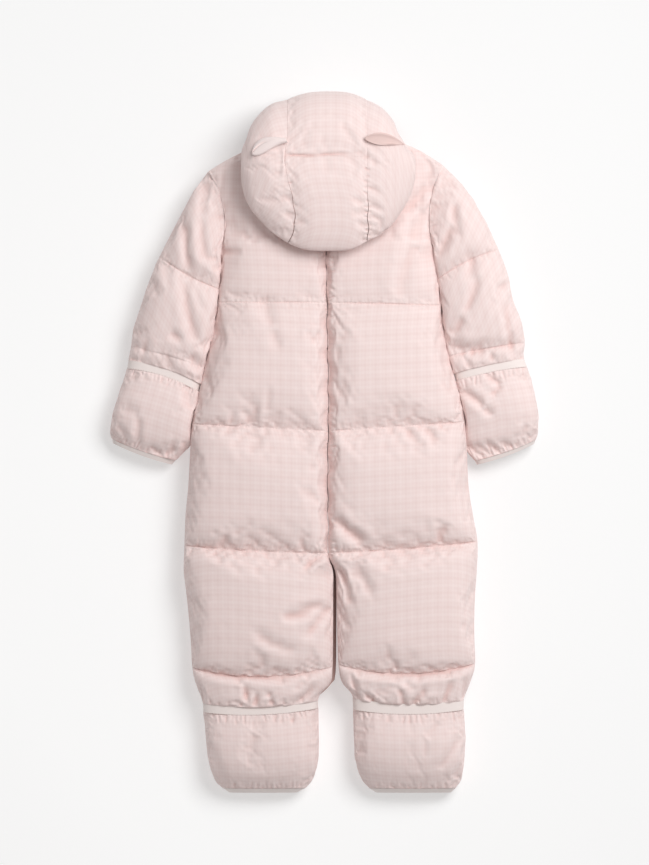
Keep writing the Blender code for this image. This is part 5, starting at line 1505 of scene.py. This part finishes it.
class Finish:
    """A material under construction."""

    def __init__(self, name, roughness, sheen=0.0, coat=0.0, gloss=0.5):
        self.material = bpy.data.materials.new(name)
        self.material.use_nodes = True
        self.tree = self.material.node_tree
        self.shader = self.tree.nodes["Principled BSDF"]
        for socket, value in (("Roughness", roughness), ("Specular IOR Level", gloss),
                              ("Sheen Weight", sheen), ("Sheen Roughness", SHEEN_ROUGHNESS),
                              ("Coat Weight", coat), ("Coat Roughness", COAT_ROUGHNESS)):
            self.shader.inputs[socket].default_value = value

    def node(self, kind, settings, values, output=0):
        """Add a node: its settings first, then the values or links of its sockets."""
        node = self.tree.nodes.new(kind)
        for name, value in settings.items():
            if name == "stops":
                self.set_stops(node.color_ramp, value)
            else:
                setattr(node, name, value)
        for name, value in values.items():
            self.feed(value, node.inputs[name])
        return Shade(self, node.outputs[output])

    def feed(self, value, socket):
        """Give a socket a value or a link."""
        if isinstance(value, Shade):
            self.tree.links.new(value.socket, socket)
        else:
            socket.default_value = value

    @staticmethod
    def set_stops(ramp, stops):
        """Give a colour ramp its stops: place and brightness."""
        while len(ramp.elements) > 1:
            ramp.elements.remove(ramp.elements[-1])
        ramp.elements[0].position = stops[0][0]
        ramp.elements[0].color = (stops[0][1],) * 3 + (1.0,)
        for place, bright in stops[1:]:
            ramp.elements.new(place).color = (bright,) * 3 + (1.0,)

    def x_and_y(self, where):
        """The first two parts of a place."""
        x = self.node("ShaderNodeSeparateXYZ", {}, {0: where})
        return x, Shade(self, x.socket.node.outputs[1])

    def cloth_place(self):
        """Place on the flat cloth in metres, and its parts across and along the grain."""
        uv = self.node("ShaderNodeUVMap", {"uv_map": CLOTH_MAP}, {})
        return uv, *self.x_and_y(uv)

    def object_place(self):
        """Place in the garment in metres."""
        return self.node("ShaderNodeTexCoord", {}, {}, 3)

    def noise(self, where, scale, detail=2.0):
        """Soft noise, scale in waves for each metre."""
        return self.node("ShaderNodeTexNoise", {}, {"Vector": where, "Scale": scale, "Detail": detail})

    def lines(self, where, repeat, stops):
        """A stripe that repeats across the cloth, drawn by its stops."""
        return self.node("ShaderNodeValToRGB", {"stops": stops}, {0: (where / repeat).fraction()})

    def blend(self, share, first, second):
        """A colour between two colours."""
        return self.node("ShaderNodeMix", {"data_type": "RGBA"}, {"Factor": share, 6: first, 7: second}, 2)

    def colour(self, value):
        """Feed the base colour."""
        self.feed(value, self.shader.inputs["Base Color"])

    def roughness(self, value):
        """Feed the roughness."""
        self.feed(value, self.shader.inputs["Roughness"])

    def bump(self, height, distance):
        """Feed the normal from a height between 0 and 1 that stands for a distance in millimetres."""
        values = {"Height": height, "Distance": distance * MM, "Strength": 1.0}
        self.feed(self.node("ShaderNodeBump", {}, values), self.shader.inputs["Normal"])


def tint(colour, shares):
    """A colour with a share left of each of its parts."""
    return [value * share for value, share in zip(colour, shares)] + [1.0]


def shell_finish(cloth):
    """Smooth woven shell with a tonal check, drawn along and across the grain, and painted shade in its
    creases.
    """
    finish = Finish("shell_check", SHELL_ROUGHNESS[0], sheen=CLOTH_SHEEN, gloss=CLOTH_GLOSS)
    uv, across, along = finish.cloth_place()
    warp = finish.lines(across, cloth.repeat_across, WARP_LINES)
    weft = finish.lines(along, cloth.repeat_along, WEFT_LINES)
    broad = finish.lines(across, cloth.repeat_across * BROAD_REPEATS, BROAD_LINES)
    tone = warp * WARP_SHARE + weft * WEFT_SHARE + broad * (1.0 - WARP_SHARE - WEFT_SHARE)
    plain = finish.blend(tone, cloth.deep, cloth.pale)
    # painted shade: the check's colours darkened and pinked where the cloth lies in a crease
    crease_shaded = finish.blend(tone, tint(cloth.deep, PAINTED_CREASE_SHADE), tint(cloth.pale, PAINTED_CREASE_SHADE))
    hollow = finish.node("ShaderNodeAttribute", {"attribute_name": HOLLOW}, {}, 2)
    finish.colour(finish.blend(hollow, plain, crease_shaded))
    weave = across.wave(THREAD_PITCH) * along.wave(THREAD_PITCH)
    crinkle = finish.noise(uv, CRINKLE_SCALE, CRINKLE_DETAIL)
    finish.bump(crinkle * CRINKLE_SHARE + weave * (1.0 - CRINKLE_SHARE), CRINKLE_HEIGHT)
    finish.roughness(SHELL_ROUGHNESS[0] + crinkle * SHELL_ROUGHNESS[1])
    return finish.material


def plain_finish(name, colour, rib=None):
    """Plain cloth; rib is the distance between its ribs across the cloth, in metres."""
    finish = Finish(name, PLAIN_ROUGHNESS, sheen=CLOTH_SHEEN, gloss=CLOTH_GLOSS)
    uv, across, along = finish.cloth_place()
    mottle = finish.noise(uv, PLAIN_SCALE)
    if rib:
        height = across.wave(rib) * RIB_SHARE + along.wave(rib * RIB_ALONG) * (1.0 - RIB_SHARE)
    else:
        height = across.wave(THREAD_PITCH) * along.wave(THREAD_PITCH)
    finish.colour(finish.blend(mottle * 0.5 + height * 0.5, tint(colour, [PLAIN_SHADE] * 3), colour))
    finish.bump(height, RIB_BUMP if rib else PLAIN_BUMP)
    return finish.material


def mottled_finish(name, colour):
    """Thread, moulded teeth or lacquer, each a little uneven."""
    look = MOTTLES[name]
    finish = Finish(name, look.rough, coat=look.coat)
    mottle = finish.noise(finish.object_place(), look.waves, look.detail)
    finish.colour(finish.blend(mottle, tint(colour, [look.dark] * 3), colour))
    if look.varies:
        finish.roughness(look.rough + mottle * look.varies)
    if look.bump:
        finish.bump(mottle, look.bump)
    return finish.material


def floor_finish(tone):
    """Pale paper floor with painted shade, darker towards the main light so that it reads evenly lit."""
    finish = Finish("pale_floor", FLOOR_ROUGHNESS)
    where = finish.object_place()
    mottle = finish.noise(where, FLOOR_MOTTLE[0])
    x, y = finish.x_and_y(where)
    # painted shade against the main light's falloff, with a faint mottle
    share = x * FLOOR_PAINTED_SHADE[0] + y * FLOOR_PAINTED_SHADE[1] + mottle * FLOOR_MOTTLE[1] + FLOOR_EVEN
    finish.colour(finish.blend(share, (tone,) * 3 + (1.0,), (0.0, 0.0, 0.0, 1.0)))
    finish.shader.inputs["Emission Color"].default_value = (1.0, 1.0, 1.0, 1.0)
    finish.shader.inputs["Emission Strength"].default_value = FLOOR_GLOW
    return finish.material


def material(context, name):
    """The finish of that name, made once."""
    made = bpy.data.materials.get(name)
    if made:
        return made
    cloth = context.scene.snowsuit_cloth
    if name == "shell_check":
        return shell_finish(cloth)
    colour = list(getattr(cloth, FINISH_COLOURS[name]))
    if name in MOTTLES:
        return mottled_finish(name, colour)
    return plain_finish(name, colour, RIBS.get(name))


# ---------------- pieces
def add_piece(context, name, bm, finishes, replaced=(), body="suit"):
    """Turn a bmesh into a piece that rides on a body and stands for its solid."""
    mesh = bpy.data.meshes.new(name)
    bm.to_mesh(mesh)
    bm.free()
    mesh.shade_smooth()
    mesh.set_sharp_from_angle(angle=math.radians(SHARP_ANGLE))
    for finish in finishes:
        mesh.materials.append(material(context, finish))
    piece = bpy.data.objects.new(name, mesh)
    context.scene.collection.objects.link(piece)
    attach(piece, body)
    if replaced:
        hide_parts(*replaced)
    return piece


# ---------------- what a user may change
def swatch(name, description, default):
    """A colour that a user may change."""
    return FloatVectorProperty(name=name, description=description, subtype="COLOR", size=4, min=0.0, max=1.0,
                               default=default)


def number(name, description, default, least, most, **kind):
    """A number that a user may change; kind is its unit or subtype."""
    return FloatProperty(name=name, description=description, default=default, min=least, max=most, **kind)


class SnowsuitCloth(bpy.types.PropertyGroup):
    """Colours and check of the cloth."""

    pale: swatch("Pale", "Pale threads of the check", SHELL_PALE)
    deep: swatch("Deep", "Deep threads of the check", SHELL_DEEP)
    # the lining's colour also serves as painted shade in the gaps where it shows
    lining: swatch("Lining", "Plain cloth inside", LINING_WITH_GAP_SHADE)
    binding: swatch("Binding", "Elastic bands and bindings", BINDING)
    ear: swatch("Ear", "Cloth of the ears", EAR)
    # partly the inner cloth's colour, partly painted shade inside the open ear
    ear_inside: swatch("Ear inside", "Cloth inside the ears", EAR_INSIDE_SHADED)
    tape: swatch("Zip tape", "Tape and teeth of the zip", TAPE)
    thread: swatch("Thread", "Sewing thread", THREAD)
    metal: swatch("Slider", "Lacquer of the slider and its pull", METAL)
    repeat_across: number("Repeat across", "Width of the check's repeat", 0.0104, 0.002, 0.1, unit="LENGTH")
    repeat_along: number("Repeat along", "Height of the check's repeat", 0.0147, 0.002, 0.1, unit="LENGTH")


class SnowsuitWadding(bpy.types.PropertyGroup):
    """How full and how soft the padding is."""

    pressure: number("Pressure", "Push of the wadding against the cloth", 4.5, 0.0, 20.0)
    slack: number("Slack", "Extra cloth eased into each panel", 0.016, 0.0, 0.1, subtype="FACTOR")
    bending: number("Bending", "Stiffness of the cloth in bending", 0.8, 0.0, 10.0)
    fill: number("Fill", "How tight the padding is", 0.6, 0.0, 1.0, subtype="FACTOR")


class SnowsuitStage(bpy.types.PropertyGroup):
    """Light, floor and camera."""

    power: number("Main light", "Power of the main light", 30.5, 0.0, 500.0, unit="POWER")
    sky: number("Fill light", "Strength of the light from all round", 0.42, 0.0, 5.0)
    floor: number("Floor tone", "Brightness of the floor", 0.73, 0.0, 1.0)
    lens: number("Lens", "Focal length in millimetres", 363.6, 10.0, 900.0)
    distance: number("Distance", "Height of the camera over the floor", 9.0, 0.5, 20.0, unit="LENGTH")


def wadding_of(context, share=1.0):
    """How one panel is inflated; share scales its slack."""
    chosen = context.scene.snowsuit_wadding
    return Wadding(chosen.pressure, chosen.slack * share, chosen.bending)


def padded_piece(context, name, bm, replaced):
    """A padded piece in place of its plain solid."""
    piece = add_piece(context, name, bm, ("shell_check", "plain_lining"), (replaced,))
    return piece


# ---------------- operators
class SNOWSUIT_OT_backs(bpy.types.Operator):
    """Make the two quilted half backs."""

    bl_idname = "snowsuit.backs"
    bl_label = "Backs"

    def execute(self, context):
        for side in OUTWARD:
            settled, flat, places = back_net(side, wadding_of(context))
            bm = bmesh.new()
            add_net(bm, settled, flat)
            close_net(bm, MIDDLE + LAYER_GAP / 2, side)
            for row in STITCHED_ROWS:
                stitching.add(settled[BACK_FINE * nearest(places, row)])
            padded_piece(context, "quilted_back_" + side, bm, "back_" + side)
        return {"FINISHED"}


class SNOWSUIT_OT_fronts(bpy.types.Operator):
    """Make the two quilted half fronts, which the suit lies on."""

    bl_idname = "snowsuit.fronts"
    bl_label = "Fronts"

    def execute(self, context):
        for side in OUTWARD:
            points, flat, places = front_net(side)
            bm = bmesh.new()
            add_net(bm, points, flat)
            close_net(bm, MIDDLE - LAYER_GAP / 2, side)
            for row in STITCHED_ROWS:
                stitching.add(points[nearest(places, row)], -1.0)
            padded_piece(context, "quilted_front_" + side, bm, "front_" + side)
        return {"FINISHED"}


def limb(context, kind, side, net, inner_power, slack, solid):
    """A padded tube: a sleeve, a hand cover or a foot cover."""
    name = kind + side
    rows = LIMBS[name]
    creases = TUBE_CREASES[name]
    tube = Tube(side, rows, net, COVER_WALL, inner_power=inner_power, creases=creases,
                gathers=limb_gathers(name, rows, side),
                under_creases=creases + limb_gathers(name, rows, side, UNDER_SEED))
    bm, ring = tube.mesh(wadding_of(context, slack))
    for stop in tube.stops[1:-1]:
        if tube.rows[stop].puff < STITCHED_BELOW:
            row = ring[FINE * nearest(tube.places, stop)]
            stitching.add(row[:FINE * net.over + 1])
            stitching.add(row[FINE * net.over:], -1.0)
    padded_piece(context, name, bm, solid + side)


class SNOWSUIT_OT_sleeves(bpy.types.Operator):
    """Make the two quilted sleeves."""

    bl_idname = "snowsuit.sleeves"
    bl_label = "Sleeves"

    def execute(self, context):
        for side in OUTWARD:
            limb(context, "quilted_sleeve_", side, SLEEVE_NET, INNER_POWER, SLEEVE_SLACK, "sleeve_")
        return {"FINISHED"}


class SNOWSUIT_OT_covers(bpy.types.Operator):
    """Make the gathered hand covers and foot covers."""

    bl_idname = "snowsuit.covers"
    bl_label = "Hand and foot covers"

    def execute(self, context):
        for side in OUTWARD:
            limb(context, "hand_cover_", side, MITT_NET, INNER_POWER, COVER_SLACK, "mitt_")
        for side in OUTWARD:
            limb(context, "foot_cover_", side, BOOTIE_NET, PUFF_POWER, COVER_SLACK, "bootie_")
        return {"FINISHED"}


class SNOWSUIT_OT_trims(bpy.types.Operator):
    """Make the elastic bands over the gathers and the bindings of the covers' mouths."""

    bl_idname = "snowsuit.trims"
    bl_label = "Bands and bindings"

    def execute(self, context):
        for name, rows in {**BANDS, **BINDINGS}.items():
            side = name.rsplit("_", 1)[1]
            cover = ("hand_cover_" if name.startswith("mitt") else "foot_cover_") + side
            is_band = name in BANDS
            tube = Tube(side, rows, BAND_NET, BAND_WALL if is_band else BINDING_WALL,
                        power=BAND_POWER if is_band else PUFF_POWER, thin=is_band)
            bm, ring = tube.mesh(factor=BAND_FINE)
            around = float(running_length(ring[len(ring) // 2])[-1]) * MM
            width = sum(face.calc_area() for face in bm.faces) / 2 / around
            finishes = ("elastic_binding", "elastic_binding")
            piece = add_piece(context, "elastic_" + name, bm, finishes, (name,))
            if is_band:
                for row in (1, -2):
                    stitching.add(ring[row][:BAND_FINE * BAND_NET.over + 1])
        return {"FINISHED"}


class SNOWSUIT_OT_hood(bpy.types.Operator):
    """Make the three panels of the hood."""

    bl_idname = "snowsuit.hood"
    bl_label = "Hood"

    def execute(self, context):
        for name in HOOD_PANELS:
            bm, settled = hood_panel(name, wadding_of(context, HOOD_SLACK))
            if name == "hood_centre":
                stitching.add(settled[FINE * nearest(hood_places(), HOOD_QUILT_ROW)])
            padded_piece(context, "quilted_" + name, bm, name)
        return {"FINISHED"}


class SNOWSUIT_OT_ears(bpy.types.Operator):
    """Make the two ears."""

    bl_idname = "snowsuit.ears"
    bl_label = "Ears"

    def execute(self, context):
        # the right ear's inside is darkened as painted shade
        for side, profile, cloth in (("left", folded_ear, "ear_cloth"), ("right", dished_ear, "ear_inside")):
            name = "ear_" + side
            bm = ear_mesh(name, profile)
            area = sum(face.calc_area() for face in bm.faces) / 2
            piece = add_piece(context, "sewn_" + name, bm, (cloth, cloth), (name,))
            ear = EARS[name]
            length = math.hypot(ear.tip_x - ear.root_x, ear.tip_y - ear.root_y)
            round(ear.width * EAR_CUT * MM, 4)
        return {"FINISHED"}


class SNOWSUIT_OT_zip(bpy.types.Operator):
    """Make the zip's tape and teeth and lacquer its slider and pull."""

    bl_idname = "snowsuit.zip"
    bl_label = "Zip"

    def execute(self, context):
        bm = zip_tape_mesh()
        tape = add_piece(context, "zip_woven_tape", bm, ("tape_cloth",), ("zip_tape",))
        add_piece(context, "zip_moulded_teeth", zip_teeth_mesh(), ("zip_teeth",))
        for node in ("zip_slider", "zip_pull"):
            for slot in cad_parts[node].material_slots:
                slot.material = material(context, "zip_lacquer")
        return {"FINISHED"}


class SNOWSUIT_OT_stitching(bpy.types.Operator):
    """Sew the rows of stitches that the panels left places for."""

    bl_idname = "snowsuit.stitching"
    bl_label = "Stitching"

    def execute(self, context):
        add_piece(context, "stitching", stitching.mesh(), ("sewing_thread",))
        return {"FINISHED"}


class SNOWSUIT_OT_stage(bpy.types.Operator):
    """Lay the floor, set the light and place the camera."""

    bl_idname = "snowsuit.stage"
    bl_label = "Stage"

    def execute(self, context):
        chosen = context.scene.snowsuit_stage
        scene = context.scene
        bm = bmesh.new()
        bmesh.ops.create_grid(bm, x_segments=1, y_segments=1, size=FLOOR_SIZE)
        bmesh.ops.translate(bm, vec=(0.0, 0.0, FLOOR_LEVEL), verts=bm.verts)
        mesh = bpy.data.meshes.new("floor")
        bm.to_mesh(mesh)
        bm.free()
        mesh.materials.append(floor_finish(chosen.floor))
        floor = bpy.data.objects.new("floor", mesh)
        scene.collection.objects.link(floor)

        lamp = bpy.data.lights.new("main_light", "AREA")
        lamp.energy = chosen.power
        lamp.size = LIGHT_SIZE
        light = bpy.data.objects.new("main_light", lamp)
        light.location = LIGHT_FROM
        light.rotation_euler = (Vector(LIGHT_FROM) - Vector(LIGHT_AT)).to_track_quat("Z", "Y").to_euler()
        scene.collection.objects.link(light)

        world = bpy.data.worlds.new("fill_light")
        world.use_nodes = True
        world.node_tree.nodes["Background"].inputs["Color"].default_value = SKY_COLOUR
        world.node_tree.nodes["Background"].inputs["Strength"].default_value = chosen.sky
        scene.world = world
        scene.view_settings.view_transform = "Standard"

        camera = bpy.data.objects.new("camera", bpy.data.cameras.new("camera"))
        camera.data.lens = chosen.lens
        camera.data.clip_end = CAMERA_REACH
        camera.location = (CAMERA_X, CAMERA_Y, chosen.distance)
        scene.collection.objects.link(camera)
        scene.camera = camera
        return {"FINISHED"}


class SNOWSUIT_PT_pieces(bpy.types.Panel):
    """Lists the pieces of the snowsuit."""

    bl_idname = "SNOWSUIT_PT_pieces"
    bl_label = "Snowsuit"
    bl_space_type = "VIEW_3D"
    bl_region_type = "UI"
    bl_category = "Snowsuit"

    def draw(self, context):
        layout = self.layout
        scene = context.scene
        for group in (scene.snowsuit_cloth, scene.snowsuit_wadding, scene.snowsuit_stage):
            box = layout.box()
            for name in group.__annotations__:
                box.prop(group, name)
        for operator in OPERATORS:
            layout.operator(operator.bl_idname)


GROUPS = {
    "snowsuit_cloth": SnowsuitCloth,
    "snowsuit_wadding": SnowsuitWadding,
    "snowsuit_stage": SnowsuitStage,
}
OPERATORS = (
    SNOWSUIT_OT_backs, SNOWSUIT_OT_fronts, SNOWSUIT_OT_sleeves, SNOWSUIT_OT_covers, SNOWSUIT_OT_trims,
    SNOWSUIT_OT_hood, SNOWSUIT_OT_ears, SNOWSUIT_OT_zip, SNOWSUIT_OT_stitching, SNOWSUIT_OT_stage,
)


def register():
    """Add the classes and the settings."""
    for name, group in GROUPS.items():
        bpy.utils.register_class(group)
        setattr(bpy.types.Scene, name, PointerProperty(type=group))
    for operator in OPERATORS:
        bpy.utils.register_class(operator)
    bpy.utils.register_class(SNOWSUIT_PT_pieces)


def unregister():
    """Remove the classes and the settings."""
    bpy.utils.unregister_class(SNOWSUIT_PT_pieces)
    for operator in reversed(OPERATORS):
        bpy.utils.unregister_class(operator)
    for name, group in GROUPS.items():
        delattr(bpy.types.Scene, name)
        bpy.utils.unregister_class(group)


def main():
    """Make every piece in order."""
    register()
    for operator in OPERATORS:
        group, name = operator.bl_idname.split(".")
        getattr(getattr(bpy.ops, group), name)()


if __name__ == "__main__":
    main()
